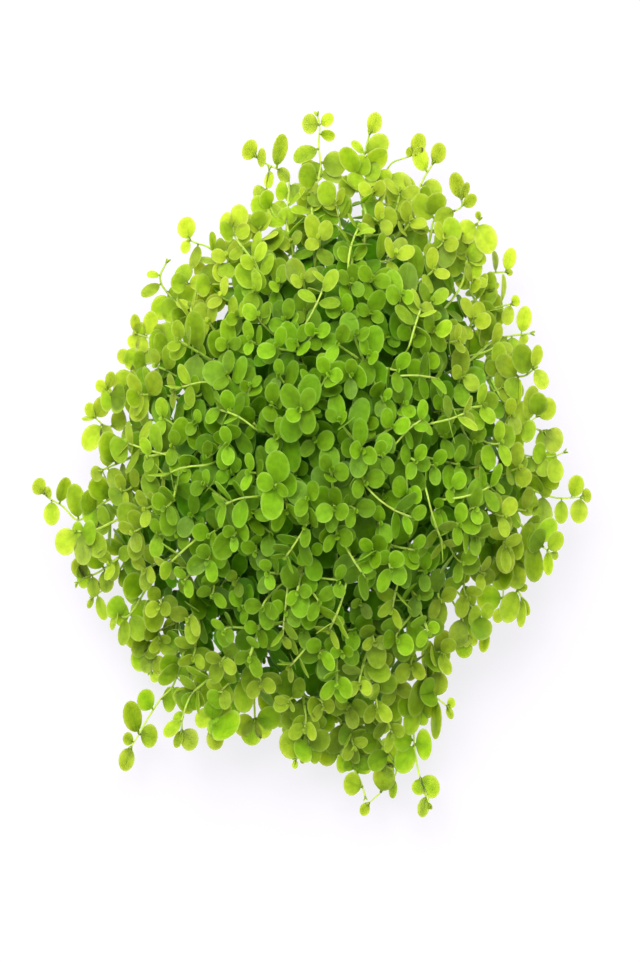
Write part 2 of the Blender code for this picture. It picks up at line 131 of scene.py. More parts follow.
# The sprigs that stand out from the clump's edge, in millimetres as seen from above. Each has the
# number of its outer shoot and where it leaves that shoot's stem, from 0 at the foot to 1, or None
# where it is the stem's own end. Its nodes follow from the tip down. A node has its place and its
# leaves, each an oval given by its middle and its half sizes along X and Y.
SPRIGS = (
    (1, None, (
        ((-3.1, 79.6),),
        ((-2.3, 77.5), (-0.4, 78.8, 1.5, 1.7), (-4.9, 77.6, 2.0, 2.7)),
        ((-2.7, 75.3), (-0.6, 75.0, 1.9, 1.2)),
        ((-3.0, 71.4), (-6.0, 70.3, 3.3, 2.2)),
        ((-2.0, 67.8), (-3.3, 66.4, 1.8, 3.5), (1.6, 67.6, 2.2, 3.3)),
    )),
    (2, None, (
        ((9.8, 74.8), (11.1, 77.8, 1.9, 2.7)),
        ((9.0, 72.0),),
        ((8.5, 69.7), (12.4, 72.4, 2.2, 3.0), (6.3, 72.6, 0.9, 1.3)),
        ((8.2, 67.0), (11.7, 68.6, 2.9, 2.2)),
        ((6.4, 64.4), (7.6, 66.2, 2.3, 3.4), (4.7, 69.2, 1.8, 3.3)),
    )),
    (3, None, (
        ((25.6, 67.7), (27.1, 70.5, 1.8, 2.9)),
        ((24.2, 65.8), (22.7, 69.0, 1.7, 3.5)),
        ((22.8, 62.8), (25.6, 61.2, 2.4, 3.0)),
    )),
    (3, 0.62, (
        ((20.8, 70.0), (22.1, 72.9, 1.9, 2.8), (19.8, 70.9, 0.6, 1.6)),
        ((15.0, 68.3),),
        ((13.5, 64.5), (16.4, 61.8, 3.5, 5.6)),
    )),
    (4, None, (
        ((32.7, 58.3), (31.6, 61.7, 1.6, 3.9), (33.5, 60.6, 0.9, 2.4)),
        ((33.9, 56.9), (35.1, 58.3, 1.5, 1.7)),
        ((31.2, 55.6), (28.6, 54.4, 3.0, 2.1)),
        ((25.8, 54.6), (22.6, 56.9, 2.5, 3.3)),
    )),
    (5, None, (
        ((37.0, 53.2), (36.7, 54.5, 0.8, 0.9)),
        ((35.8, 52.3), (38.5, 48.7, 2.4, 4.4), (34.0, 50.4, 1.8, 3.6)),
        ((34.6, 47.0),),
    )),
    (6, None, (
        ((43.8, 40.7), (44.8, 44.0, 1.6, 2.8), (44.5, 40.6, 1.1, 0.9)),
        ((41.0, 40.8), (41.3, 43.3, 0.7, 2.6)),
        ((37.6, 39.6),),
    )),
    (6, 0.7, (
        ((45.2, 32.7), (46.2, 33.4, 1.2, 1.6), (44.5, 30.1, 1.5, 3.0)),
        ((43.0, 32.3), (43.3, 36.6, 0.6, 3.4)),
        ((39.8, 31.5),),
    )),
    (7, None, (
        ((50.0, 25.3),),
        ((48.0, 25.2), (48.3, 28.7, 1.9, 3.4), (48.2, 23.9, 1.4, 1.2)),
        ((44.5, 24.6),),
        ((41.0, 24.1),),
    )),
    (8, None, (
        ((50.5, 16.3), (51.2, 19.4, 1.3, 2.9), (52.5, 13.3, 1.8, 2.4)),
        ((48.9, 14.3), (49.0, 16.5, 0.8, 2.9)),
        ((46.4, 14.2), (43.6, 17.0, 3.0, 2.4), (46.7, 10.6, 1.0, 3.4)),
        ((42.6, 15.6), (41.9, 20.0, 2.0, 3.0), (40.0, 16.6, 1.6, 2.2)),
    )),
    (8, 0.72, (
        ((51.2, 4.4), (53.8, 6.4, 2.4, 2.8)),
        ((49.4, 3.2), (49.5, 7.5, 2.0, 4.8), (47.2, 4.8, 1.5, 4.4)),
        ((46.4, 1.0),),
    )),
    (9, None, (
        ((53.2, 0.8), (55.4, -1.2, 2.2, 3.8)),
        ((50.0, 2.2),),
        ((46.0, 1.6),),
    )),
    (9, 0.74, (
        ((58.2, -4.4),),
        ((56.8, -5.6), (56.0, -8.3, 2.2, 3.7)),
        ((52.4, -5.4), (52.9, -7.3, 2.0, 3.2)),
        ((48.0, -5.4),),
    )),
    (10, None, (
        ((62.7, -15.5), (64.1, -15.1, 1.2, 1.9), (62.2, -18.9, 2.3, 3.1)),
        ((59.8, -15.7), (61.5, -12.5, 2.0, 2.7)),
        ((57.5, -16.1), (57.8, -19.0, 1.8, 3.1)),
        ((53.2, -14.9), (53.0, -20.2, 2.6, 3.8), (50.8, -11.4, 1.5, 2.0)),
    )),
    (11, None, (
        ((54.9, -29.4), (55.8, -29.9, 0.9, 1.2)),
        ((53.6, -28.4), (56.2, -26.3, 1.9, 2.4), (54.1, -31.6, 1.2, 3.3)),
        ((51.5, -26.8), (49.4, -25.6, 2.3, 4.2), (50.4, -32.2, 2.5, 4.3)),
    )),
    (12, None, (
        ((47.8, -40.6), (48.6, -43.0, 1.0, 2.3), (48.0, -46.2, 0.6, 1.8)),
        ((46.6, -38.7), (44.8, -43.1, 2.3, 4.1), (48.4, -38.1, 0.9, 1.0)),
        ((45.6, -29.4), (46.1, -33.9, 2.5, 4.9)),
    )),
    (12, 0.66, (
        ((43.1, -43.2), (42.0, -45.0, 1.3, 2.0)),
        ((43.4, -37.0),),
        ((42.2, -31.0),),
    )),
    (13, None, (
        ((38.5, -48.2), (38.5, -51.2, 1.4, 3.0)),
        ((38.3, -46.2), (39.0, -44.0, 0.9, 3.0), (36.3, -45.3, 1.8, 3.0)),
        ((34.8, -42.2), (33.9, -43.3, 1.1, 1.8)),
        ((31.0, -38.4),),
    )),
    (13, 0.7, (
        ((34.6, -50.0), (35.6, -51.2, 0.8, 1.7), (34.2, -51.0, 0.6, 2.0)),
        ((32.6, -45.0), (32.0, -49.0, 2.4, 4.1)),
    )),
    (14, None, (
        ((29.2, -67.6), (30.4, -66.8, 0.8, 1.5), (29.9, -69.4, 0.8, 1.7)),
        ((26.2, -65.8), (27.0, -62.9, 2.3, 3.7), (26.3, -71.6, 1.2, 4.3)),
        ((24.4, -61.6), (24.3, -56.0, 1.7, 4.2), (21.0, -66.2, 2.5, 3.7)),
    )),
    (15, None, (
        ((24.9, -92.4),),
        ((24.6, -90.7), (23.5, -93.2, 1.4, 2.9)),
        ((22.6, -86.5), (25.2, -88.2, 2.3, 3.0), (22.4, -87.4, 1.8, 3.0)),
        ((21.9, -83.0),),
        ((21.0, -77.2), (18.6, -81.6, 2.5, 3.5), (23.6, -77.5, 2.0, 4.1)),
        ((20.9, -72.2),),
        ((23.0, -68.6),),
    )),
    (16, None, (
        ((8.9, -90.8),),
        ((8.5, -88.6), (5.9, -87.6, 2.6, 3.1)),
        ((5.4, -82.2), (7.3, -79.8, 1.9, 3.2)),
        ((1.8, -80.0), (2.0, -77.0, 2.6, 2.9)),
    )),
    (16, 0.72, (
        ((9.9, -92.3), (8.7, -94.0, 1.3, 1.6)),
        ((12.4, -90.2), (13.4, -86.8, 2.9, 3.8)),
        ((16.0, -86.6), (15.8, -88.8, 1.1, 2.4), (14.4, -83.8, 1.6, 2.0)),
        ((17.4, -83.6), (14.5, -79.0, 2.5, 2.9)),
    )),
    (17, None, (
        ((-8.5, -80.8), (-8.7, -82.1, 0.8, 1.2)),
        ((-6.3, -79.5), (-9.8, -77.0, 2.8, 3.8), (-6.8, -80.9, 0.8, 1.0)),
        ((-4.6, -77.2), (-2.5, -76.2, 2.6, 2.8)),
        ((-6.6, -73.6), (-9.9, -71.2, 2.2, 3.1)),
    )),
    (18, None, (
        ((-18.8, -71.0), (-21.6, -72.6, 2.5, 2.8), (-16.9, -73.0, 2.4, 2.9)),
        ((-19.1, -66.0),),
    )),
    (19, None, (
        ((-36.9, -73.4), (-35.0, -75.7, 2.2, 3.1), (-38.0, -76.0, 1.0, 2.0)),
        ((-37.4, -71.6), (-39.9, -73.2, 1.9, 1.8)),
        ((-36.2, -68.8), (-38.0, -70.8, 1.4, 1.4)),
        ((-35.2, -65.0),),
    )),
    (19, 0.6, (
        ((-29.3, -72.2), (-28.7, -75.3, 2.2, 3.1)),
        ((-29.0, -68.0), (-31.6, -70.6, 2.1, 2.4), (-26.7, -68.5, 2.2, 3.0)),
        ((-29.8, -63.0),),
    )),
    (20, None, (
        ((-49.9, -78.2), (-51.0, -81.2, 1.9, 3.3)),
        ((-49.5, -77.3), (-50.8, -76.3, 1.2, 1.8)),
        ((-47.9, -75.2), (-45.3, -75.6, 2.1, 3.1), (-49.4, -70.5, 2.0, 3.9)),
        ((-46.5, -72.2),),
        ((-44.4, -69.0), (-46.2, -66.6, 2.5, 2.8)),
        ((-42.6, -66.0), (-41.0, -66.3, 2.4, 3.3)),
        ((-39.4, -63.6), (-37.6, -65.8, 1.5, 2.2)),
    )),
    (21, None, (
        ((-44.9, -59.2), (-44.0, -60.6, 1.2, 1.6)),
        ((-44.5, -55.6), (-45.8, -57.3, 1.5, 2.7), (-43.2, -57.5, 1.6, 2.7)),
        ((-46.2, -50.6), (-45.2, -53.2, 1.8, 3.3), (-48.4, -53.8, 0.6, 3.0)),
    )),
    (22, None, (
        ((-53.2, -43.6), (-53.7, -46.2, 0.7, 2.9)),
        ((-51.6, -46.6), (-51.4, -49.8, 1.6, 2.9)),
        ((-49.4, -44.4), (-48.2, -48.0, 2.1, 4.0)),
    )),
    (23, None, (
        ((-63.4, -37.0),),
        ((-61.2, -35.0), (-62.8, -33.3, 2.3, 2.4)),
        ((-59.8, -35.6), (-59.3, -38.0, 1.7, 2.6)),
        ((-57.0, -33.8), (-56.2, -36.4, 2.0, 3.2)),
    )),
    (23, 0.74, (
        ((-59.4, -40.6), (-60.0, -42.2, 0.6, 1.6)),
        ((-58.4, -40.0), (-57.5, -43.6, 1.2, 3.0)),
        ((-55.6, -38.0),),
    )),
    (24, None, (
        ((-63.0, -24.0), (-65.8, -26.6, 2.3, 3.8)),
        ((-61.6, -23.8), (-61.5, -28.6, 2.2, 4.0)),
        ((-60.4, -24.8), (-57.8, -27.7, 2.3, 3.3)),
        ((-57.6, -23.4),),
    )),
    (25, None, (
        ((-71.5, -14.8), (-72.6, -13.1, 1.9, 2.4), (-70.4, -14.3, 0.7, 1.7)),
        ((-69.9, -16.5), (-69.6, -19.5, 2.1, 3.0)),
        ((-67.3, -17.0), (-66.9, -13.5, 1.4, 3.4)),
        ((-63.3, -22.2), (-63.4, -17.5, 2.3, 5.6)),
        ((-60.2, -19.6),),
        ((-57.0, -17.2), (-55.6, -19.6, 1.9, 2.6)),
    )),
    (26, None, (
        ((-56.4, -8.7), (-57.7, -9.5, 1.8, 2.1)),
        ((-55.0, -8.2), (-55.3, -5.8, 1.9, 2.6), (-53.0, -11.4, 1.9, 3.0)),
    )),
    (27, None, (
        ((-58.6, 4.3), (-59.9, 6.3, 1.3, 2.1), (-57.0, 7.1, 2.0, 2.8), (-61.1, 3.9, 0.9, 0.5)),
        ((-57.0, 2.2), (-59.8, -1.2, 2.2, 3.4), (-55.6, -0.3, 1.7, 2.2)),
        ((-54.6, 1.8), (-52.8, 3.5, 1.8, 2.7)),
    )),
    (28, None, (
        ((-55.3, 11.2), (-54.8, 12.9, 1.1, 3.2), (-56.8, 12.0, 1.6, 1.6)),
        ((-53.6, 8.0),),
        ((-50.0, 8.6), (-51.3, 12.9, 2.9, 3.2)),
    )),
    (29, None, (
        ((-48.2, 25.2), (-48.5, 27.6, 1.3, 2.7), (-48.9, 23.6, 1.6, 2.2)),
        ((-45.4, 24.4), (-44.8, 28.1, 1.8, 3.1), (-46.6, 23.0, 1.6, 2.6)),
        ((-42.8, 23.4), (-42.5, 25.7, 1.7, 2.0), (-42.9, 21.2, 2.4, 3.2)),
    )),
    (29, 0.72, (
        ((-49.4, 18.8), (-51.0, 19.4, 2.2, 1.9)),
        ((-46.6, 17.2), (-47.6, 15.8, 2.2, 2.8)),
    )),
    (30, None, (
        ((-41.0, 43.2),),
        ((-43.0, 40.0), (-44.6, 40.2, 1.3, 0.9)),
        ((-42.5, 37.6), (-45.5, 36.3, 2.1, 1.4)),
        ((-39.8, 34.6), (-38.2, 35.4, 1.8, 1.0)),
        ((-37.6, 32.2), (-40.1, 31.3, 2.1, 3.5)),
    )),
    (31, None, (
        ((-34.8, 48.4), (-35.6, 51.1, 2.4, 3.2), (-36.0, 46.7, 1.1, 1.8)),
        ((-33.5, 47.2), (-33.4, 44.3, 1.5, 3.3)),
        ((-31.0, 47.7),),
        ((-29.2, 46.0), (-29.2, 47.4, 0.8, 3.2), (-27.3, 46.0, 1.7, 3.1)),
    )),
    (31, 0.7, (
        ((-35.4, 37.6), (-33.3, 37.9, 2.3, 2.0)),
        ((-31.0, 37.4), (-32.4, 41.0, 1.6, 2.4)),
    )),
    (32, None, (
        ((-24.2, 51.6), (-22.6, 54.0, 2.4, 3.0), (-25.6, 52.6, 1.5, 2.8)),
        ((-24.2, 49.4), (-26.3, 50.0, 1.0, 0.9), (-21.6, 50.4, 1.8, 2.1)),
    )),
    (33, None, (
        ((-18.4, 69.4), (-19.7, 70.8, 2.0, 3.2), (-17.2, 69.3, 1.2, 2.5)),
        ((-16.2, 67.6),),
        ((-13.6, 66.9), (-12.6, 71.8, 1.9, 3.6), (-11.6, 65.0, 2.0, 1.3)),
        ((-10.0, 65.0),),
    )),
    (33, 0.6, (
        ((-15.2, 66.4), (-15.1, 64.2, 1.2, 2.7)),
        ((-16.0, 62.0), (-17.2, 60.2, 1.3, 3.3)),
        ((-15.4, 57.4), (-15.9, 56.0, 1.4, 2.0), (-13.2, 55.3, 1.7, 1.7)),
        ((-13.4, 53.6),),
    )),
)

# How far the dense leaves reach from the clump's middle, in millimetres, every 20 degrees from +X
BODY_REACHES = (58, 54, 56, 69, 76, 66, 57, 54, 53, 53, 63, 63, 68, 67, 76, 59, 53, 58)

# Inner shoots stand in three rings: their slope in degrees at the foot, how far it and the tip's
# slope hold, and how far a tip may stray from its ring
INNER_START_SLOPE = 78
INNER_START_SHARE = 0.45
INNER_END_SHARE = 0.34
RING_STRAY = 1.8 * MM


@dataclass
class Ring:
    """Shoots that stand round the middle of the clump."""

    kind: str
    count: int
    reach_x: float
    reach_y: float
    height: float
    turn: float
    tip_slope: float


INNER_RINGS = (
    Ring("top", 4, 10 * MM, 13 * MM, 58.5 * MM, 20, 80),
    Ring("middle", 7, 24 * MM, 32 * MM, 49.0 * MM, 4, 66),
    Ring("outer", 11, 41 * MM, 53 * MM, 36.0 * MM, 15, 38),
)

# The root mat: its radius, its height, the swellings round it, each with their number, height and
# turn, its crown, and the size of the patch on a stem of the frame that counts as the stem's foot
MAT_RADIUS = 26 * MM
MAT_HEIGHT = 9.5 * MM
MAT_LOBES = ((5, 0.055, 0.4), (9, 0.035, 1.9))
MAT_CROWN = Vector((0.0, 0.0, 8.0 * MM))
FOOT_SIZE = 1.0 * MM

# Pairs of leaves from the tip down: how far below the last pair, and their natural length
INNER_PAIRS = (
    (0.8, 4.5), (2.2, 6.2), (3.6, 7.3), (4.6, 7.6),
    (5.2, 7.5), (5.6, 7.2), (5.8, 7.0), (6.2, 6.6),
)
RIM_PAIRS = (
    (0.8, 4.4), (2.5, 6.0), (4.0, 6.9), (4.8, 7.3),
    (5.4, 7.1), (5.8, 6.8), (6.2, 6.4), (6.6, 6.2),
)
LOWER_RIM_PAIRS = (
    (3.6, 5.8), (4.2, 6.2), (4.6, 6.2), (5.0, 6.0),
    (5.4, 5.8), (5.8, 5.6), (6.2, 5.4), (6.2, 5.4),
)
UNDER_PAIRS = ((0.8, 5.0), (3.2, 6.2), (4.0, 6.6), (4.6, 6.6), (5.2, 6.4), (5.6, 6.2))


def length_property(name, description, default):
    return FloatProperty(name=name, description=description, default=default, unit="LENGTH")


def colour_property(name, description, default):
    return FloatVectorProperty(
        name=name, description=description, default=default, subtype="COLOR"
    )


class ClumpShape(bpy.types.PropertyGroup):
    """Sizes of the clump that a user would change."""

    dome_height: length_property(
        "Dome height", "Height of the highest leaf tips over the cut", 59 * MM
    )
    side_spacing: length_property(
        "Side shoot spacing", "Least distance between the tips of two side shoots on the dome", 4.8 * MM
    )
    under_spacing: length_property(
        "Low shoot spacing", "Least distance between the tips of two low, shaded shoots", 4.6 * MM
    )
    stem_radius: length_property("Stem radius", "Radius of a main stem at its foot", 0.44 * MM)
    side_stem_radius: length_property(
        "Side stem radius", "Radius of a side stem at its foot", 0.35 * MM
    )
    blade_thickness: length_property(
        "Blade thickness", "Thickness of a leaf along its middle", 0.22 * MM
    )
    rootlets: IntProperty(
        name="Rootlets",
        description="Number of pale rootlets woven over the root mat",
        default=330,
        min=0,
    )
    runners: IntProperty(
        name="Runners",
        description="Number of creeping stems that lie half sunk in the root mat",
        default=26,
        min=0,
    )


def smooth(low, high, value):
    share = min(max((value - low) / (high - low), 0.0), 1.0)
    return share * share * (3 - 2 * share)


def blend(low, high, share):
    return low + (high - low) * share


def own_numbers(name):
    """Random numbers that belong to one shoot and are the same every time."""
    return random.Random(f"{SEED} {name}")


def turned(vector, degrees):
    return Matrix.Rotation(math.radians(degrees), 3, UP) @ vector


def slope(outward, degrees):
    angle = math.radians(degrees)
    return outward * math.cos(angle) + UP * math.sin(angle)


def away_from(places, x, y):
    """How far each place lies from one point, seen from above."""
    return np.hypot(places[:, 0] - x, places[:, 1] - y)


STEM_STEPS = 28


def curve_points(start, first, second, end):
    """A cubic curve from start to end as evenly numbered points."""
    t = np.linspace(0.0, 1.0, STEM_STEPS + 1)[:, None]
    s = 1 - t
    corners = [np.array(corner) for corner in (start, first, second, end)]
    weights = (s**3, 3 * s * s * t, 3 * s * t * t, t**3)
    return sum(corner * weight for corner, weight in zip(corners, weights))


def rim_points(foot, tip, lean):
    """Up from the mat, out in an arch, and turned up a little at the tip."""
    flat = Vector((tip.x - foot.x, tip.y - foot.y, 0.0))
    run = flat.length
    outward = flat.normalized()
    rise = slope(turned(outward, -lean * RIM_START_LEAN), RIM_START_SLOPE) * (run * RIM_START_SHARE)
    arrive = slope(turned(outward, lean), RIM_END_SLOPE) * (run * RIM_END_SHARE)
    return curve_points(foot, foot + rise, tip - arrive, tip)


def inner_points(foot, tip, tip_slope):
    """Almost straight up, then leaning out to the tip."""
    outward = Vector((tip.x - foot.x, tip.y - foot.y, 0.0)).normalized()
    reach = (tip - foot).length
    rise = slope(outward, INNER_START_SLOPE) * (reach * INNER_START_SHARE)
    arrive = slope(outward, tip_slope) * (reach * INNER_END_SHARE)
    return curve_points(foot, foot + rise, tip - arrive, tip)


def foot_of(name):
    """Where the frame's stem begins: the middle of its corners nearest the mat's crown."""
    corners = [vertex.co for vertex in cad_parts[name].data.vertices]
    nearest = min(corners, key=lambda corner: (corner - MAT_CROWN).length)
    around = [corner for corner in corners if (corner - nearest).length < FOOT_SIZE]
    low = Vector([min(corner[axis] for corner in around) for axis in range(3)])
    high = Vector([max(corner[axis] for corner in around) for axis in range(3)])
    return (low + high) / 2


def ring_tip(ring, number):
    """Where an inner shoot ends: on its ring, give or take a little."""
    numbers = own_numbers(f"{ring.kind}_shoot_{number:02d}")
    angle = math.radians(ring.turn) + 2 * math.pi * number / ring.count
    stray = Vector([numbers.uniform(-RING_STRAY, RING_STRAY) for axis in range(3)])
    reach = Vector((ring.reach_x * math.cos(angle), ring.reach_y * math.sin(angle), ring.height))
    return CLUMP_CENTRE + reach + stray


LEAST_STEPS = 4
LEAST_COURSE = 6
SPRIG_JOIN_STEPS = 4
SPRIG_STEP = 1.2 * MM
SPRIG_SMOOTHINGS = 3


def even_steps(points, step):
    """The same course with its points evenly spaced."""
    runs = np.concatenate(([0.0], np.cumsum(np.linalg.norm(np.diff(points, axis=0), axis=1))))
    marks = np.linspace(0.0, runs[-1], max(int(runs[-1] / step), LEAST_STEPS) + 1)
    return np.stack([np.interp(marks, runs, points[:, axis]) for axis in range(3)], axis=1)


def smoothed(points, rounds):
    """The same course with softer bends and its ends kept."""
    for _ in range(rounds):
        points[1:-1] = (points[:-2] + 2 * points[1:-1] + points[2:]) / 4
    return points


def through_nodes(course, nodes, start_share):
    """Leads a stem off its shoot's course and through the places of a sprig's nodes."""
    places = []
    for node in reversed(nodes):
        x, y = node[0]
        nearest = int(np.argmin(away_from(course, x * MM, y * MM)))
        places.append((x * MM, y * MM, course[nearest, 2]))
    if start_share is None:
        nearest = int(np.argmin(away_from(course, *places[0][:2])))
        leave = max(nearest - SPRIG_JOIN_STEPS, LEAST_COURSE)
        points = np.vstack((course[:leave], places))
    else:
        points = np.vstack((course[int(start_share * STEM_STEPS)], places))
    return smoothed(even_steps(points, SPRIG_STEP), SPRIG_SMOOTHINGS)


@dataclass
class Node:
    """A place on a stem where two leaves stand opposite each other."""

    place: Vector
    distance: float
    along: Vector
    spread: Vector
    length: float
    age: float


@dataclass
class Stem:
    """A stem from its foot to its tip, as closely spaced points, with its pairs of leaves."""

    shoot: str
    points: np.ndarray
    start_radius: float
    nodes: list = field(default_factory=list)

    def __post_init__(self):
        steps = np.linalg.norm(np.diff(self.points, axis=0), axis=1)
        self.runs = np.concatenate(([0.0], np.cumsum(steps)))
        self.length = float(self.runs[-1])

    def place(self, distance):
        return Vector([float(np.interp(distance, self.runs, self.points[:, axis])) for axis in range(3)])

    def course(self, distance):
        ahead = self.place(min(distance + 0.5 * MM, self.length))
        return (ahead - self.place(max(distance - 0.5 * MM, 0.0))).normalized()

    def nearest(self, x, y):
        """How far along the stem a place seen from above lies."""
        return float(self.runs[int(np.argmin(away_from(self.points, x, y)))])


@dataclass
class Leaf:
    """One blade: where it starts, its three axes, its sizes, its age and tone, and its painted glow and
    painted shade.
    """

    shoot: str
    place: np.ndarray
    long_axis: np.ndarray
    width_axis: np.ndarray
    facing: np.ndarray
    length: float
    width: float
    cup: float
    curl: float
    age: float
    tone: float
    # pale is the share of painted glow at the clump's edge and far side, depth the share of painted
    # shade well below the dome
    pale: float = 0.0
    depth: float = 0.0


NEARLY_UPRIGHT = 0.05
LEVEL_HALF_CROSS = 24
HALF_CROSS_GAIN = 21
PAIR_STRAY = (0.8, 1.2)
GROWN_ORDER = 4


def spread_at(along, order, turn):
    """Pairs cross at right angles on an upright stem, and lie flatter on a level one."""
    level = along.cross(UP)
    if level.length < NEARLY_UPRIGHT:
        level = Vector((1.0, 0.0, 0.0))
    level.normalize()
    other = level.cross(along).normalized()
    uprightness = abs(along.z)
    half_cross = math.radians(LEVEL_HALF_CROSS + HALF_CROSS_GAIN * uprightness)
    angle = half_cross if order % 2 else -half_cross
    angle += math.radians(turn) * uprightness
    return (level * math.cos(angle) + other * math.sin(angle)).normalized()


def bear_pairs(stem, pairs, lowest, numbers, youth=0.0, start=0.0):
    """Sets pairs of leaves along a stem, from below its tip down to a share of its length."""
    turn = numbers.uniform(0, 90)
    below = start
    for order, (gap, length) in enumerate(pairs):
        below += gap * MM * numbers.uniform(*PAIR_STRAY)
        distance = stem.length - below
        if distance < lowest * stem.length:
            break
        along = stem.course(distance)
        age = min(youth + order / GROWN_ORDER, 1.0)
        leaf_length = length * MM * numbers.uniform(*PAIR_STRAY)
        spread = spread_at(along, order, turn)
        stem.nodes.append(Node(stem.place(distance), distance, along, spread, leaf_length, age))


MAIN_LOWEST_PAIR = 0.34
LOWER_PAIRS_YOUTH = 0.5
SIDE_LOWEST_PAIR = 0.16
FOOT_DEPTH = 1.5 * MM


def rooted(points):
    """A main stem's course, led on a little into the root mat."""
    down = points[0] - points[1]
    return np.vstack((points[0] + down / np.linalg.norm(down) * FOOT_DEPTH, points))


def main_stems(shape):
    """The stems of the frame's own shoots."""
    ends = {number: nodes for number, start_share, nodes in SPRIGS if start_share is None}
    stems = []
    for ring in INNER_RINGS:
        for number in range(1, ring.count + 1):
            name = f"{ring.kind}_shoot_{number:02d}"
            points = inner_points(foot_of(name), ring_tip(ring, number), ring.tip_slope)
            stem = Stem(name, rooted(points), shape.stem_radius)
            bear_pairs(stem, INNER_PAIRS, MAIN_LOWEST_PAIR, own_numbers(name + " pairs"))
            stems.append(stem)
    for number, (x, y, z, lean) in enumerate(RIM_TIPS, 1):
        name = f"rim_shoot_{number:02d}"
        course = rim_points(foot_of(name), Vector((x, y, z)) * MM, lean)
        nodes = ends[number]
        stem = Stem(name, rooted(through_nodes(course, nodes, None)), shape.stem_radius)
        lowest_x, lowest_y = nodes[-1][0]
        seen = stem.length - stem.nearest(lowest_x * MM, lowest_y * MM)
        numbers = own_numbers(name + " pairs")
        bear_pairs(stem, LOWER_RIM_PAIRS, MAIN_LOWEST_PAIR, numbers, LOWER_PAIRS_YOUTH, seen)
        stems.append(stem)
    return stems


def rim_sprigs(shape, stems):
    """The further sprigs of the outer shoots that stand out from the clump's edge."""
    rim_stems = stems[-len(RIM_TIPS) :]
    sprigs = []
    for number, start_share, nodes in SPRIGS:
        if start_share is not None:
            main = rim_stems[number - 1]
            course = even_steps(main.points, main.length / STEM_STEPS)
            points = through_nodes(course, nodes, start_share)
            sprigs.append(Stem(main.shoot, points, shape.side_stem_radius))
    return sprigs


class Outline:
    """How far the dense leaves reach from the clump's middle, and how high their edge is."""

    def __init__(self):
        step = 2 * math.pi / len(BODY_REACHES)
        self.body_angles = np.arange(-len(BODY_REACHES), len(BODY_REACHES) + 1) * step
        self.body_reaches = np.tile(BODY_REACHES, 3)[: len(self.body_angles)] * MM
        entries = []
        for x, y, z, _ in RIM_TIPS:
            away = Vector((x, y, 0.0)) * MM - CLUMP_CENTRE
            entries.append((math.atan2(away.y, away.x), z * MM))
        entries.sort()
        angles, heights = (np.array(column) for column in zip(*entries))
        self.angles = np.concatenate((angles[-1:] - 2 * math.pi, angles, angles[:1] + 2 * math.pi))
        self.heights = np.concatenate((heights[-1:], heights, heights[:1]))

    def share(self, x, y):
        """0 in the middle of the clump and 1 where its dense leaves end."""
        away = Vector((x, y, 0.0)) - CLUMP_CENTRE
        angle = math.atan2(away.y, away.x)
        return away.length / float(np.interp(angle, self.body_angles, self.body_reaches))

    def edge_height(self, x, y):
        """How high the outer shoots end in the direction of a place."""
        away = Vector((x, y, 0.0)) - CLUMP_CENTRE
        return float(np.interp(math.atan2(away.y, away.x), self.angles, self.heights))


DOME_ROUNDNESS = 1.9
TIP_SINK = 11.0 * MM
SINK_POWER = 1.6
SINK_LOSS = 0.4
SIDE_TRIES = 18000
RIM_EXTRA_SPACING = 1.2 * MM
EXTRA_SPACING_SHARES = (0.6, 0.95)
SIDE_REACH = 0.97
UNDER_REACH = 0.82
UNDER_HEIGHTS = (9.0 * MM, 28.0 * MM)
UNDER_DEPTH = 13.0 * MM
UNDER_XS = (-80, 80)
UNDER_YS = (-80, 70)
UNDER_CLEARING = 24 * MM
BRANCH_PLACES = (0.16, 0.26, 0.36, 0.46, 0.56, 0.66, 0.76, 0.84)
LEAST_RISE = 4.0 * MM
LEAST_UNDER_RISE = -18.0 * MM
INWARD_SHARE = 0.4


def dome_height(shape, outline, x, y):
    """How high the highest leaves stand over a place on the floor."""
    edge = outline.edge_height(x, y)
    share = min(outline.share(x, y), 1.0)
    return shape.dome_height - (shape.dome_height - edge) * share**DOME_ROUNDNESS


def side_tips(shape, outline, stems):
    """Places for the tips of side shoots, evenly strewn over the dome between the main tips."""
    numbers = own_numbers("side tips")
    flat = np.array([(stem.points[-1][0], stem.points[-1][1] / LENGTHWAYS_STRETCH) for stem in stems])
    low, high = flat.min(axis=0), flat.max(axis=0)
    tips = []
    for _ in range(SIDE_TRIES):
        x = numbers.uniform(low[0], high[0])
        natural_y = numbers.uniform(low[1], high[1])
        y = natural_y * LENGTHWAYS_STRETCH
        sink = numbers.random() ** SINK_POWER
        share = outline.share(x, y)
        if share > SIDE_REACH:
            continue
        spacing = shape.side_spacing + RIM_EXTRA_SPACING * smooth(*EXTRA_SPACING_SHARES, share)
        if away_from(flat, x, natural_y).min() < spacing:
            continue
        flat = np.vstack((flat, (x, natural_y)))
        height = dome_height(shape, outline, x, y) - TIP_SINK * sink * (1 - SINK_LOSS * share)
        tips.append(Vector((x, y, height)))
    return tips


OVER_TRIES = 900
OVER_COUNT = 22
OVER_SPACING = 10.0 * MM
OVER_LENGTHS = (7.0 * MM, 12.0 * MM)
OVER_BOW = 24
OVER_TURN = 40
OVER_LOWEST_PAIR = 0.5
OVER_SHARES = (0.35, 0.94)
OVER_RISE = -0.8 * MM
OVER_DEPTH = 6.0 * MM
OVER_START = 0.4
OVER_MISS = 2.5 * MM
OVER_SMOOTHINGS = 10
OVER_PAIRS = ((0.6, 3.8), (2.0, 5.0), (3.0, 5.8))


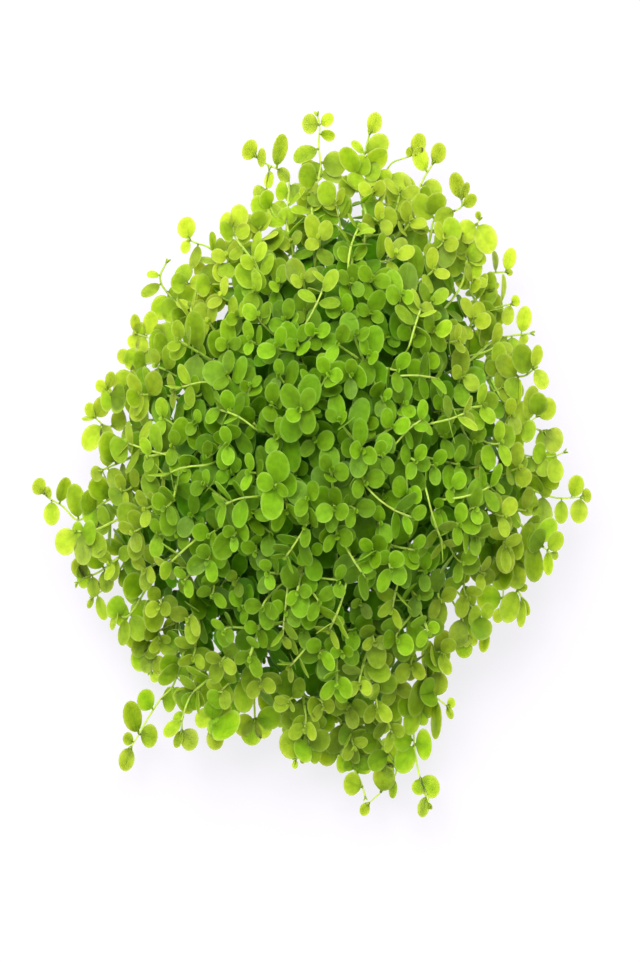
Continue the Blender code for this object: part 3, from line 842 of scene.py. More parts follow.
def over_stems(shape, outline, mains):
    """Long side shoots that run out over the dome's leaves, bare but for their tips."""
    numbers = own_numbers("over stems")
    places = branch_places(mains, outline)
    grown = []
    middles = np.array([(FAR_AWAY, FAR_AWAY)])
    for _ in range(OVER_TRIES):
        angle = numbers.uniform(0, 2 * math.pi)
        share = numbers.uniform(*OVER_SHARES)
        length = numbers.uniform(*OVER_LENGTHS)
        way = Vector((math.cos(angle), math.sin(angle), 0.0))
        edge = float(np.interp(angle, outline.body_angles, outline.body_reaches))
        tip = CLUMP_CENTRE + way * (edge * share)
        heading = turned(way, numbers.uniform(-OVER_TURN, OVER_TURN))
        start = tip - heading * length
        middle = (tip + start) / 2
        if away_from(middles, middle.x, middle.y).min() < OVER_SPACING:
            continue
        for place in (start, tip):
            place.z = dome_height(shape, outline, place.x, place.y) + OVER_RISE
        behind = start - heading * (OVER_START * length)
        under = [entry for entry in places if start.z - entry[1].z > OVER_DEPTH]
        index, root, _, _ = min(under, key=lambda entry: (entry[1] - behind).xy.length)
        if (root - behind).xy.length > OVER_MISS:
            continue
        run = (tip - start) / 3
        rise = UP * ((start.z - root.z) / 2)
        bow = numbers.uniform(-OVER_BOW, OVER_BOW)
        leave, arrive = turned(run, bow), turned(run, -bow)
        points = np.vstack((
            curve_points(root, root + rise, start - leave, start),
            curve_points(start, start + leave, tip - arrive, tip)[1:],
        ))
        points = smoothed(even_steps(points, SPRIG_STEP), OVER_SMOOTHINGS)
        stem = Stem(mains[index].shoot, points, shape.side_stem_radius)
        bear_pairs(stem, OVER_PAIRS, OVER_LOWEST_PAIR, numbers)
        grown.append(stem)
        middles = np.vstack((middles, (middle.x, middle.y)))
        if len(grown) == OVER_COUNT:
            break
    return grown


def under_tips(shape, outline):
    """Places for the tips of the low, shaded shoots under the dome."""
    numbers = own_numbers("under tips")
    flat = np.array([(0.0, 0.0)])
    tips = []
    for _ in range(SIDE_TRIES // 2):
        x = numbers.uniform(*UNDER_XS) * MM
        natural_y = numbers.uniform(*UNDER_YS) * MM
        y = natural_y * LENGTHWAYS_STRETCH
        height = numbers.uniform(*UNDER_HEIGHTS)
        if outline.share(x, y) > UNDER_REACH or math.hypot(x, y) < UNDER_CLEARING:
            continue
        if away_from(flat, x, natural_y).min() < shape.under_spacing:
            continue
        flat = np.vstack((flat, (x, natural_y)))
        highest = dome_height(shape, outline, x, y) - UNDER_DEPTH
        tips.append(Vector((x, y, max(min(height, highest), UNDER_HEIGHTS[0]))))
    return tips


# What a side shoot's turning back and each earlier one on the same stem add to its cost
TURNING_COST = 0.9
LOAD_COST = 0.9

# A side shoot's course: its turn off the outward way and how much less it turns at the edge, its
# slope at the tip in the middle, how much flatter it lies at the edge, and how it leaves its stem
SIDE_TURN = 50
SIDE_TURN_LOSS = 0.7
SIDE_SLOPE = 78
SIDE_SLOPE_LOSS = 50
SIDE_SLOPE_SHARES = (0.35, 1.0)
SIDE_SLOPE_STRAY = 12
LEAVING_PULL = 0.7
SIDE_HOLD = 0.34
RIM_PAIRS_SHARE = 0.8


def branch_cost(start, along, tip, load):
    """Low where a side shoot can leave its stem without turning back."""
    away = tip - start
    reach = away.length
    turning = 1 - along.dot(away / reach)
    return reach * (1 + TURNING_COST * turning) + load * LOAD_COST * MM


def branch_places(stems, outline):
    """Where side shoots may grow: each stem's number, the place, its course and its share."""
    places = []
    for index, stem in enumerate(stems):
        for share in BRANCH_PLACES:
            distance = share * stem.length
            place = stem.place(distance)
            places.append((index, place, stem.course(distance), outline.share(place.x, place.y)))
    return places


def side_stem(shape, outline, tip, stems, places, loads, numbers, least_rise=LEAST_RISE):
    """One side shoot, from the place on a main stem that suits it best."""
    best = None
    share = outline.share(tip.x, tip.y)
    for index, start, course, start_share in places:
        if tip.z - start.z < least_rise or start_share > max(share, INWARD_SHARE):
            continue
        cost = branch_cost(start, course, tip, loads[index])
        if best is None or cost < best[0]:
            best = (cost, index, start, course)
    if best is None:
        return None
    _, index, start, course = best
    loads[index] += 1
    away = tip - start
    outward = tip - CLUMP_CENTRE
    outward.z = 0.0
    turn = numbers.uniform(-SIDE_TURN, SIDE_TURN) * (1 - SIDE_TURN_LOSS * min(share, 1))
    outward = turned(outward.normalized(), turn)
    flatter = SIDE_SLOPE_LOSS * smooth(*SIDE_SLOPE_SHARES, share)
    stray = numbers.uniform(-SIDE_SLOPE_STRAY, SIDE_SLOPE_STRAY)
    ending = slope(outward, SIDE_SLOPE - flatter + stray)
    leaving = (course * LEAVING_PULL + away.normalized()).normalized()
    reach = away.length * SIDE_HOLD
    points = curve_points(start, start + leaving * reach, tip - ending * reach, tip)
    return Stem(stems[index].shoot, points, shape.side_stem_radius)


def side_stems(shape, outline, mains, sprigs):
    """All side shoots: those that end on the dome, then the low ones under it."""
    numbers = own_numbers("side stems")
    places = branch_places(mains, outline)
    loads = [0] * len(mains)
    grown = []
    for tip in side_tips(shape, outline, mains + sprigs):
        stem = side_stem(shape, outline, tip, mains, places, loads, numbers)
        if stem is None:
            continue
        pairs = INNER_PAIRS if outline.share(tip.x, tip.y) < RIM_PAIRS_SHARE else RIM_PAIRS
        bear_pairs(stem, pairs, SIDE_LOWEST_PAIR, numbers)
        grown.append(stem)
    loads = [0] * len(mains)
    for tip in under_tips(shape, outline):
        stem = side_stem(shape, outline, tip, mains, places, loads, numbers, LEAST_UNDER_RISE)
        if stem is None:
            continue
        bear_pairs(stem, UNDER_PAIRS, SIDE_LOWEST_PAIR, numbers, 1.0)
        grown.append(stem)
    return grown


STEM_CHORDS = 9
CLEARANCE = 0.36 * MM
NEARLY_PARALLEL = 0.12
MOST_LEAVES = 12000
CROSSING_SHARE = 0.96
THROUGH_SHARE = 0.94
STALK_REACH = 0.8 * MM


class Crowd:
    """What is already there: leaves as flat discs and stems as chords, before the drawing out."""

    def __init__(self, stems):
        starts, ends = [], []
        for stem in stems:
            marks = np.linspace(0.0, stem.length, STEM_CHORDS + 1)
            points = [stem.place(mark) for mark in marks]
            starts.extend(points[:-1])
            ends.extend(points[1:])
        self.starts = np.array(starts) / STRETCH
        self.ends = np.array(ends) / STRETCH
        self.count = 0
        self.centres = np.zeros((MOST_LEAVES, 3))
        self.normals = np.zeros((MOST_LEAVES, 3))
        self.radii = np.zeros(MOST_LEAVES)

    def add(self, centre, normal, radius):
        self.centres[self.count] = centre
        self.normals[self.count] = normal
        self.radii[self.count] = radius
        self.count += 1

    def meets_leaf(self, centre, normal, radius):
        """Counts the discs that cut through the disc given or lie right on it."""
        away = self.centres[: self.count] - centre
        radii = self.radii[: self.count]
        near = np.einsum("ij,ij->i", away, away) < (radii + radius) ** 2
        if not near.any():
            return 0
        away = away[near]
        radii = radii[near]
        normals = self.normals[: self.count][near]
        line = np.cross(normal, normals)
        sine = np.linalg.norm(line, axis=1)
        height = np.abs(away @ normal)
        other_height = np.abs(np.einsum("ij,ij->i", away, normals))
        parallel = sine < NEARLY_PARALLEL
        stuck = parallel & (height < CLEARANCE)
        sine = np.maximum(sine, NEARLY_PARALLEL)
        own_half = radius**2 - (other_height / sine) ** 2
        other_half = radii**2 - (height / sine) ** 2
        crossing = (own_half > 0) & (other_half > 0) & ~parallel
        along = np.abs(np.einsum("ij,ij->i", away, line)) / sine
        halves = np.sqrt(np.maximum(own_half, 0)) + np.sqrt(np.maximum(other_half, 0))
        crossing &= along < halves * CROSSING_SHARE
        return int((crossing | stuck).sum())

    def meets_stem(self, centre, normal, radius, origin):
        """True if a stem runs through the disc, away from the place where the leaf starts."""
        start_side = (self.starts - centre) @ normal
        end_side = (self.ends - centre) @ normal
        through = start_side * end_side < 0
        if not through.any():
            return False
        start_side = start_side[through]
        share = (start_side / (start_side - end_side[through]))[:, None]
        points = self.starts[through] * (1 - share) + self.ends[through] * share
        inside = np.linalg.norm(points - centre, axis=1) < radius * THROUGH_SHARE
        inside &= np.linalg.norm(points - origin, axis=1) > STALK_REACH
        return bool(inside.any())


LEAF_TRIES = 12
LEAF_MIDDLE = 0.55
LEAF_WIDTHS = (0.62, 0.80)
LEAST_AGE_LIFT = (20, 50)
MOST_AGE_LIFT = (-14, 34)
LEAF_SWING = 18
SWING_GAIN = 0.1
LEAF_TWIST = 26
LENGTH_STRAY = (0.92, 1.06)
LENGTH_LOSS = 0.02
DISC_SIZE = 0.25
SEEN_DISC_SIZE = 0.24
DISC_BASE = 0.9
CUPS = (-0.05, 0.16)
CURLS = (-0.16, 0.08)
LENGTHWAYS_BIAS = 1.3
FACING_UP = 0.9
# Painted shade: the depth below the dome over which a leaf takes the dark shaded colour, and the share
# of it past which the leaf gets the deep leaf material
PAINTED_SHADE_DEPTHS = (4.0 * MM, 17.0 * MM)
PLAIN_LEAF_DEPTH = 0.7
# Painted glow: where a leaf takes the pale colour that stands in for light at the clump's edge, how it
# lessens deep down, and how far and how much it lessens on the near side, away from the key lamp
PAINTED_GLOW_SHARES = (0.50, 1.15)
PAINTED_GLOW_DEPTHS = (3.0 * MM, 14.0 * MM)
PAINTED_GLOW_LOSS = 0.85
NEAR_REACH = 60.0 * MM
NEAR_GLOW_FADE = 0.8
# The painted shade fades out at the clump's very edge and sets in at a smaller depth towards it
PAINTED_SHADE_FADE_SHARES = (0.65, 1.15)
PAINTED_SHADE_EDGE_GAIN = 0.35
# The painted glow lessens on the outermost free leaves and on grown leaves
FREE_GLOW_SHARES = (0.82, 1.06)
FREE_GLOW_FADE = 0.5
GROWN_GLOW_FADE = 0.35
LEAST_LEAF_HEIGHT = 3.2 * MM


def leaf_axes(node, outward, lift, twist):
    """The leaf's long axis, its width and the way that its upper side faces."""
    long_axis = (outward * math.cos(lift) + node.along * math.sin(lift)).normalized()
    facing = node.along + UP * FACING_UP
    facing = (facing - long_axis * facing.dot(long_axis)).normalized()
    facing = Matrix.Rotation(twist, 3, long_axis) @ facing
    return long_axis, facing.cross(long_axis).normalized(), facing


def grow_leaf(stem, node, outward, crowd, numbers):
    """Turns one leaf until it is clear of what is there, or leaves it out."""
    low = blend(LEAST_AGE_LIFT[0], MOST_AGE_LIFT[0], node.age)
    high = blend(LEAST_AGE_LIFT[1], MOST_AGE_LIFT[1], node.age)
    width = numbers.uniform(*LEAF_WIDTHS)
    origin = np.array(node.place) / STRETCH
    for attempt in range(LEAF_TRIES):
        lift = math.radians(numbers.uniform(low, high))
        swing = numbers.uniform(-LEAF_SWING, LEAF_SWING) * (1 + attempt * SWING_GAIN)
        twist = math.radians(numbers.uniform(-LEAF_TWIST, LEAF_TWIST))
        length = node.length * numbers.uniform(*LENGTH_STRAY) * (1 - LENGTH_LOSS * attempt)
        way = Matrix.Rotation(math.radians(swing), 3, node.along) @ outward
        way = Vector((way.x, way.y * LENGTHWAYS_BIAS, way.z)).normalized()
        long_axis, width_axis, facing = leaf_axes(node, way, lift, twist)
        centre = origin + np.array(long_axis) * (length * LEAF_MIDDLE)
        normal = np.array(facing)
        radius = length * DISC_SIZE * (DISC_BASE + width)
        lowest = min(node.place.z, node.place.z + long_axis.z * length)
        if lowest < LEAST_LEAF_HEIGHT:
            continue
        if crowd.meets_leaf(centre, normal, radius) == 0:
            if not crowd.meets_stem(centre, normal, radius, origin):
                break
    else:
        return None
    crowd.add(centre, normal, radius)
    axes = (long_axis, width_axis, facing)
    return finished_leaf(stem, node.place, axes, length, width, node.age, numbers)


def finished_leaf(stem, place, axes, length, width, age, numbers):
    """A leaf with its own cupping, curl and tone."""
    place, *axes = (np.array(vector) for vector in (place, *axes))
    cup = numbers.uniform(*CUPS)
    curl = numbers.uniform(*CURLS)
    return Leaf(stem.shoot, place, *axes, length, width, cup, curl, age, numbers.random())


# Lifts, each with a lean sideways, in degrees, that a leaf of a listed sprig tries in turn
SEEN_LIFTS = (14, 22, 6, 30, -4, 38, -12, 46)
SEEN_LEANS = (0, 15, -15)
SEEN_TRIES = tuple((lift, lean) for lean in SEEN_LEANS for lift in SEEN_LIFTS)
NARROW_LEAF = 0.62
PLAIN_WIDTH = 0.82
ROLL_STRAY = 6
LOW_LEAF_COST = 100


def seen_leaf(stem, node_place, oval, age, crowd, numbers):
    """A leaf that covers a given oval seen from above, growing from a place on the stem."""
    x, y, half_x, half_y = (value * MM for value in oval)
    half_y /= LENGTHWAYS_STRETCH
    origin = np.array(node_place) / STRETCH
    to_middle = Vector((x - origin[0], y / LENGTHWAYS_STRETCH - origin[1], 0.0))
    outward = to_middle.normalized()
    sideways = Vector((-outward.y, outward.x, 0.0))
    ahead = math.hypot(half_x * outward.x, half_y * outward.y)
    across = math.hypot(half_x * sideways.x, half_y * sideways.y)
    flat_length = to_middle.length + ahead
    best = None
    for attempt, (degrees, lean) in enumerate(SEEN_TRIES):
        lift = math.radians(degrees)
        length = flat_length / math.cos(lift)
        width = 2 * across / length
        roll = 0.0
        if width < NARROW_LEAF:
            roll = math.acos(width / PLAIN_WIDTH) * (-1 if attempt % 2 else 1)
            width = PLAIN_WIDTH
        long_axis = outward * math.cos(lift) + UP * math.sin(lift)
        facing = (UP - long_axis * UP.dot(long_axis)).normalized()
        roll += math.radians(lean + numbers.uniform(-ROLL_STRAY, ROLL_STRAY))
        facing = Matrix.Rotation(roll, 3, long_axis) @ facing
        centre = origin + np.array(long_axis) * (length * LEAF_MIDDLE)
        normal = np.array(facing)
        radius = length * SEEN_DISC_SIZE * (DISC_BASE + width)
        crossings = crowd.meets_leaf(centre, normal, radius)
        crossings += crowd.meets_stem(centre, normal, radius, origin)
        if node_place.z + long_axis.z * length < LEAST_LEAF_HEIGHT:
            crossings += LOW_LEAF_COST
        if best is None or crossings < best[0]:
            axes = (long_axis, facing.cross(long_axis).normalized(), facing)
            best = (crossings, centre, normal, radius, axes, length, width)
        if crossings == 0:
            break
    _, centre, normal, radius, axes, length, width = best
    crowd.add(centre, normal, radius)
    return finished_leaf(stem, node_place, axes, length, width, age, numbers)


BUD_LENGTHS = (1.0 * MM, 1.5 * MM)
BUD_LIFT = (58, 74)
BUD_SINK = 0.2 * MM
BUD_WIDTH = 0.8


def grow_bud(stem, numbers):
    """Two tiny leaves, still folded together on the tip."""
    along = stem.course(stem.length)
    first = spread_at(along, 1, numbers.uniform(0, 90))
    place = stem.place(stem.length) - along * BUD_SINK
    folded = []
    for outward in (first, -first):
        lift = math.radians(numbers.uniform(*BUD_LIFT))
        long_axis = (outward * math.cos(lift) + along * math.sin(lift)).normalized()
        facing = (-outward * math.sin(lift) + along * math.cos(lift)).normalized()
        axes = (long_axis, facing.cross(long_axis).normalized(), facing)
        length = numbers.uniform(*BUD_LENGTHS)
        folded.append(finished_leaf(stem, place, axes, length, BUD_WIDTH, 0.0, numbers))
    return folded


GAP_CELL = 0.5 * MM
GAP_ROUNDS = 3
GAP_REACH = 1.03
HOLE_SHARES = (0.45, 0.78)
HOLE_SIZE = 4.0 * MM
HOLE_LEVELS = (0.6, -0.13)
GAP_LEAF_SIZES = (2.0 * MM, 2.9 * MM)
FARTHEST_STEM = 7.5 * MM
NEAREST_STEM = 1.2 * MM
GAP_LEAF_DEPTH = 9.0 * MM
HIGH_LEAF_COST = 3.0 * MM
OVAL_LENGTH = 0.45
OVAL_WIDTH = 0.47
LEAST_AREA = 1e-9


class GapMap:
    """A map of the clump seen from above, with every place that a leaf covers."""

    def __init__(self, outline):
        self.outline = outline
        low, high = CAD_BOX
        self.xs = np.arange(low[0], high[0], GAP_CELL)
        self.ys = np.arange(low[1], high[1], GAP_CELL)
        self.covered = np.ones((len(self.xs), len(self.ys)), dtype=bool)
        for i, x in enumerate(self.xs):
            for j, y in enumerate(self.ys):
                self.covered[i, j] = self.is_hole(x, y)

    def is_hole(self, x, y):
        """Whether the floor may show here, which is rare in the middle and common at the edge."""
        share = self.outline.share(x, y)
        level = blend(*HOLE_LEVELS, smooth(*HOLE_SHARES, share))
        return share > GAP_REACH or noise.noise(Vector((x, y, 0.0)) / HOLE_SIZE) > level

    def cover(self, leaf):
        """Marks the cells under one leaf, taken as a flat oval."""
        middle = leaf.place + leaf.long_axis * STRETCH * (leaf.length * LEAF_MIDDLE)
        long_half = (leaf.long_axis * STRETCH)[:2] * leaf.length * OVAL_LENGTH
        wide_half = (leaf.width_axis * STRETCH)[:2] * leaf.length * leaf.width * OVAL_WIDTH
        area = long_half[0] * wide_half[1] - long_half[1] * wide_half[0]
        if abs(area) < LEAST_AREA:
            return
        reach = abs(long_half) + abs(wide_half)
        i = np.nonzero(np.abs(self.xs - middle[0]) <= reach[0])[0]
        j = np.nonzero(np.abs(self.ys - middle[1]) <= reach[1])[0]
        if len(i) == 0 or len(j) == 0:
            return
        away_x = (self.xs[i] - middle[0])[:, None]
        away_y = (self.ys[j] - middle[1])[None, :]
        first = (away_x * wide_half[1] - away_y * wide_half[0]) / area
        second = (away_y * long_half[0] - away_x * long_half[1]) / area
        self.covered[np.ix_(i, j)] |= first**2 + second**2 < 1.0

    def gaps(self, numbers):
        """The places that nothing covers, in random order."""
        places = [(self.xs[i], self.ys[j]) for i, j in zip(*np.nonzero(~self.covered))]
        numbers.shuffle(places)
        return places

    def open_at(self, x, y):
        i = min(int(round((x - self.xs[0]) / GAP_CELL)), len(self.xs) - 1)
        j = min(int(round((y - self.ys[0]) / GAP_CELL)), len(self.ys) - 1)
        return not self.covered[i, j]


class Growth:
    """The whole clump, planned once and shared by the operators."""

    def __init__(self, shape):
        self.shape = shape
        self.outline = Outline()
        mains = main_stems(shape)
        sprigs = rim_sprigs(shape, mains)
        overs = over_stems(shape, self.outline, mains)
        self.stems = mains + sprigs + overs + side_stems(shape, self.outline, mains, sprigs + overs)
        self.crowd = Crowd(self.stems)
        self.numbers = own_numbers("leaves")
        self.leaves = []
        for stem in self.stems:
            self.leaves.extend(grow_bud(stem, self.numbers))
        self.grow_sprig_leaves(mains, sprigs)
        self.grow_pairs()
        self.fill_gaps()
        for leaf in self.leaves:
            self.shade(leaf)

    def fill_gaps(self):
        """Single leaves from the stems nearby wherever the floor still shows through."""
        gap_map = GapMap(self.outline)
        for leaf in self.leaves:
            gap_map.cover(leaf)
        owners = np.repeat(np.arange(len(self.stems)), [len(stem.points) for stem in self.stems])
        points = np.concatenate([stem.points for stem in self.stems])
        for _ in range(GAP_ROUNDS):
            for x, y in gap_map.gaps(self.numbers):
                if not gap_map.open_at(x, y):
                    continue
                away = away_from(points, x, y)
                away[(away < NEAREST_STEM) | (points[:, 2] < LEAST_LEAF_HEIGHT)] = FAR_AWAY
                highest = dome_height(self.shape, self.outline, x, y) - GAP_LEAF_DEPTH
                away[points[:, 2] > highest] += HIGH_LEAF_COST
                nearest = int(np.argmin(away))
                if away[nearest] > FARTHEST_STEM:
                    continue
                half = self.numbers.uniform(*GAP_LEAF_SIZES) / MM
                oval = (x / MM, y / MM, half, half * LENGTHWAYS_STRETCH)
                stem = self.stems[owners[nearest]]
                leaf = seen_leaf(stem, Vector(points[nearest]), oval, 1.0, self.crowd, self.numbers)
                self.leaves.append(leaf)
                gap_map.cover(leaf)

    def grow_sprig_leaves(self, mains, sprigs):
        """The leaves of the sprigs listed in SPRIGS."""
        rim_mains = iter(mains[-len(RIM_TIPS) :])
        rim_sides = iter(sprigs)
        for _, start_share, nodes in SPRIGS:
            stem = next(rim_mains) if start_share is None else next(rim_sides)
            for order, (place, *ovals) in enumerate(nodes):
                distance = stem.nearest(place[0] * MM, place[1] * MM)
                age = min(order / GROWN_ORDER, 1.0)
                origin = stem.place(distance)
                for oval in ovals:
                    self.leaves.append(seen_leaf(stem, origin, oval, age, self.crowd, self.numbers))

    def grow_pairs(self):
        """All other leaves, the pairs nearest the tips first."""
        for rank in range(max(len(stem.nodes) for stem in self.stems)):
            for stem in self.stems:
                if rank >= len(stem.nodes):
                    continue
                node = stem.nodes[rank]
                for outward in (node.spread, -node.spread):
                    leaf = grow_leaf(stem, node, outward, self.crowd, self.numbers)
                    if leaf is not None:
                        self.leaves.append(leaf)

    def shade(self, leaf):
        """Painted glow near the clump's edge and on its far side, and painted shade well below the dome.
        """
        middle = leaf.place + leaf.long_axis * STRETCH * (leaf.length * LEAF_MIDDLE)
        share = self.outline.share(middle[0], middle[1])
        below = dome_height(self.shape, self.outline, middle[0], middle[1]) - middle[2]
        shading = smooth(*PAINTED_SHADE_DEPTHS, below * (1 + PAINTED_SHADE_EDGE_GAIN * share))
        leaf.depth = shading * (1 - smooth(*PAINTED_SHADE_FADE_SHARES, share))
        # Less painted glow on the near side, away from the key lamp
        near = smooth(-NEAR_REACH, NEAR_REACH, CLUMP_CENTRE.y - middle[1])
        leaf.pale = smooth(*PAINTED_GLOW_SHARES, share) * (1 - PAINTED_GLOW_LOSS * smooth(*PAINTED_GLOW_DEPTHS, below))
        leaf.pale *= 1 - NEAR_GLOW_FADE * near
        leaf.pale *= (1 - FREE_GLOW_FADE * smooth(*FREE_GLOW_SHARES, share)) * (1 - GROWN_GLOW_FADE * leaf.age)


growth = None


def planned_growth():
    global growth
    if growth is None:
        growth = Growth(bpy.context.scene.clump_shape)
    return growth


# Leaf blade: rows from the stalk to the tip, and columns from edge to edge
FINE_ROWS = 8
FINE_COLUMNS = (-1.0, -0.55, 0.0, 0.55, 1.0)
PLAIN_ROWS = 5
PLAIN_COLUMNS = (-1.0, 0.0, 1.0)
BLADE_START = 0.10
STALK_HALF_WIDTH = 0.055
STALK_HALF_THICKNESS = 0.13 * MM
RIM_THICKNESS_SHARE = 0.4
MIDRIB_SINK = 0.012
STALK_FOOT_SHARE = 0.8
BASE_WIDTH = 0.86
BASE_TAPER = 0.14
TAPER_END = 0.5
BLADE_ONSET = 0.2
TIP_POWER = 6


def blade_rows(count):
    """How far along the leaf each row lies, and half its width there, in shares of the length."""
    middle = (1 + BLADE_START) / 2
    half = (1 - BLADE_START) / 2
    rows = [(0.0, STALK_HALF_WIDTH * STALK_FOOT_SHARE), (BLADE_START, STALK_HALF_WIDTH)]
    for row in range(1, count):
        along = middle - half * math.cos(math.pi * row / count)
        oval = math.sqrt(1 - ((along - middle) / half) ** 2)
        taper = BASE_WIDTH + BASE_TAPER * smooth(0.0, TAPER_END, along)
        rows.append((along, 0.5 * oval * taper))
    return rows


class Blade:
    """The closed blade mesh, as arrays that many leaves share."""

    def __init__(self, row_count, columns):
        rows = blade_rows(row_count)
        along, across, half = [], [], []
        for row_along, row_half in rows:
            for column in columns:
                along.append(row_along)
                across.append(column)
                half.append(row_half)
        along.append(1.0)
        across.append(0.0)
        half.append(0.0)
        self.along = np.array(along)
        self.across = np.array(across)
        self.half = np.array(half)
        self.side_count = len(along)
        self.faces = self.closed_faces(len(rows), len(columns))

    def closed_faces(self, rows, columns):
        """The upper side, the lower side and the narrow band round the rim."""
        tip = rows * columns
        under = self.side_count
        faces = []
        for row in range(rows - 1):
            for column in range(columns - 1):
                first = row * columns + column
                quad = (first, first + 1, first + columns + 1, first + columns)
                faces.append(quad)
                faces.append(tuple(corner + under for corner in reversed(quad)))
        last = (rows - 1) * columns
        for column in range(columns - 1):
            faces.append((last + column, last + column + 1, tip))
            faces.append((tip + under, last + column + 1 + under, last + column + under))
        edge = [row * columns for row in range(rows)] + [tip]
        far_edge = [row * columns + columns - 1 for row in range(rows)] + [tip]
        for near, after in zip(edge, edge[1:]):
            faces.append((near, after, after + under, near + under))
        for near, after in zip(far_edge, far_edge[1:]):
            faces.append((after, near, near + under, after + under))
        for column in range(columns - 1):
            faces.append((column + 1, column, column + under, column + 1 + under))
        return faces

    def points(self, leaf, thickness):
        """Both sides of one leaf as points: the upper side first, then the lower one."""
        along = self.along
        across = self.across
        offset = across * self.half * leaf.width
        rise = leaf.cup * (across * self.half * 2) ** 2 * 0.5 + leaf.curl * along**2
        blade_share = np.clip((along - BLADE_START) / BLADE_ONSET, 0, 1)
        rise = rise - MIDRIB_SINK * (1 - np.abs(across)) ** 2 * blade_share * (1 - along**2)
        middle = (1 - np.abs(across)) * (1 - along**TIP_POWER)
        half_thickness = thickness / 2 * blend(RIM_THICKNESS_SHARE, 1.0, middle)
        half_thickness = blend(STALK_HALF_THICKNESS, half_thickness, blade_share)
        flat = leaf.long_axis[None, :] * along[:, None] + leaf.width_axis[None, :] * offset[:, None]
        flat = (flat + leaf.facing[None, :] * rise[:, None]) * leaf.length * STRETCH
        lift = leaf.facing[None, :] * half_thickness[:, None]
        return np.concatenate((flat + lift, flat - lift)) + leaf.place


TUBE_SIDES = 6
RING_SPACING = 7.0 * MM
RING_BEND = 12.0
LEAST_RINGS = 4
NODE_SWELLING = 1.3
END_RADIUS_SHARE = 0.58
LEAST_RING_GAP = 0.5 * MM


def ring_marks(stem):
    """Where along the stem it has a ring, closer where it bends, and how swollen it is there."""
    steps = np.diff(stem.points, axis=0)
    steps /= np.linalg.norm(steps, axis=1)[:, None]
    bends = np.degrees(np.arccos(np.clip((steps[:-1] * steps[1:]).sum(axis=1), -1.0, 1.0)))
    bent = np.concatenate(([0.0], np.cumsum(bends), [bends.sum()]))
    needed = stem.runs / RING_SPACING + bent / RING_BEND
    wanted = np.linspace(0.0, needed[-1], max(math.ceil(needed[-1]), LEAST_RINGS))
    marks = [(float(mark), 1.0) for mark in np.interp(wanted, needed, stem.runs)]
    marks.extend((node.distance, NODE_SWELLING) for node in stem.nodes)
    marks.sort()
    kept = [marks[0]]
    for mark in marks[1:]:
        if mark[0] - kept[-1][0] > LEAST_RING_GAP:
            kept.append(mark)
        elif mark[1] > kept[-1][1]:
            kept[-1] = (kept[-1][0], mark[1])
    return kept


def ring_quads(lower, upper, count):
    """The faces between two closed rings, each given by the number of its first corner."""
    pairs = [(corner, (corner + 1) % count) for corner in range(count)]
    return [(lower + near, lower + far, upper + far, upper + near) for near, far in pairs]


def tube(centres, courses, radii, sides=TUBE_SIDES):
    """A closed round tube as points and faces, with the share of its length at each point."""
    points, shares, turns, faces = [], [], [], []
    side = None
    for ring, (centre, along, radius) in enumerate(zip(centres, courses, radii)):
        if side is None:
            side = along.orthogonal()
        side = (side - along * side.dot(along)).normalized()
        other = along.cross(side)
        for corner in range(sides):
            angle = 2 * math.pi * corner / sides
            points.append(centre + (side * math.cos(angle) + other * math.sin(angle)) * radius)
            shares.append(ring / (len(radii) - 1))
            turns.append(corner / sides)
    for ring in range(len(radii) - 1):
        faces.extend(ring_quads(ring * sides, (ring + 1) * sides, sides))
    last = (len(radii) - 1) * sides
    faces.append(tuple(reversed(range(sides))))
    faces.append(tuple(last + corner for corner in range(sides)))
    return np.array(points), faces, np.array(shares), np.array(turns)


def stem_tube(stem):
    """A stem as a tube that thins towards its tip and swells at its nodes."""
    centres, courses, radii = [], [], []
    for distance, swelling in ring_marks(stem):
        centres.append(stem.place(distance))
        courses.append(stem.course(distance))
        thinning = blend(1.0, END_RADIUS_SHARE, distance / stem.length)
        radii.append(stem.start_radius * thinning * swelling)
    return tube(centres, courses, radii)


# pale and depth carry the leaves' painted glow and painted shade
VALUE_NAMES = ("age", "tone", "pale", "depth", "under", "along", "across")
SHARP_ANGLE = 60

# Places of the materials on a shoot's mesh and on the root mat's
LEAF, STEM, DEEP_LEAF = range(3)
PAD, ROOTLET, RUNNER, CUT = range(4)


def link_object(name, data):
    made = bpy.data.objects.new(name, data)
    bpy.context.scene.collection.objects.link(made)
    return made


class MeshParts:
    """Collects points, faces and values for one mesh."""

    def __init__(self):
        self.points = []
        self.faces = []
        self.materials = []
        self.values = {name: [] for name in VALUE_NAMES}
        self.count = 0

    def add(self, points, faces, material, **values):
        self.points.append(points)
        self.faces.extend(tuple(corner + self.count for corner in face) for face in faces)
        self.materials.extend([material] * len(faces))
        for name, listed in self.values.items():
            value = np.asarray(values.get(name, 0.0), dtype=float)
            listed.append(np.broadcast_to(value, (len(points),)))
        self.count += len(points)

    def to_object(self, name, materials):
        mesh = bpy.data.meshes.new(name)
        mesh.from_pydata(np.concatenate(self.points).tolist(), [], self.faces)
        for material in materials:
            mesh.materials.append(material)
        mesh.polygons.foreach_set("material_index", self.materials)
        for value, listed in self.values.items():
            attribute = mesh.attributes.new(value, "FLOAT", "POINT")
            attribute.data.foreach_set("value", np.concatenate(listed).astype(np.float32))
        mesh.shade_smooth()
        mesh.set_sharp_from_angle(angle=math.radians(SHARP_ANGLE))
        mesh.update()
        return link_object(name, mesh)


def replace_node(made, name):
    """Puts a mesh in the place of a node of the frame."""
    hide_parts(name)
    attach(made, "root")


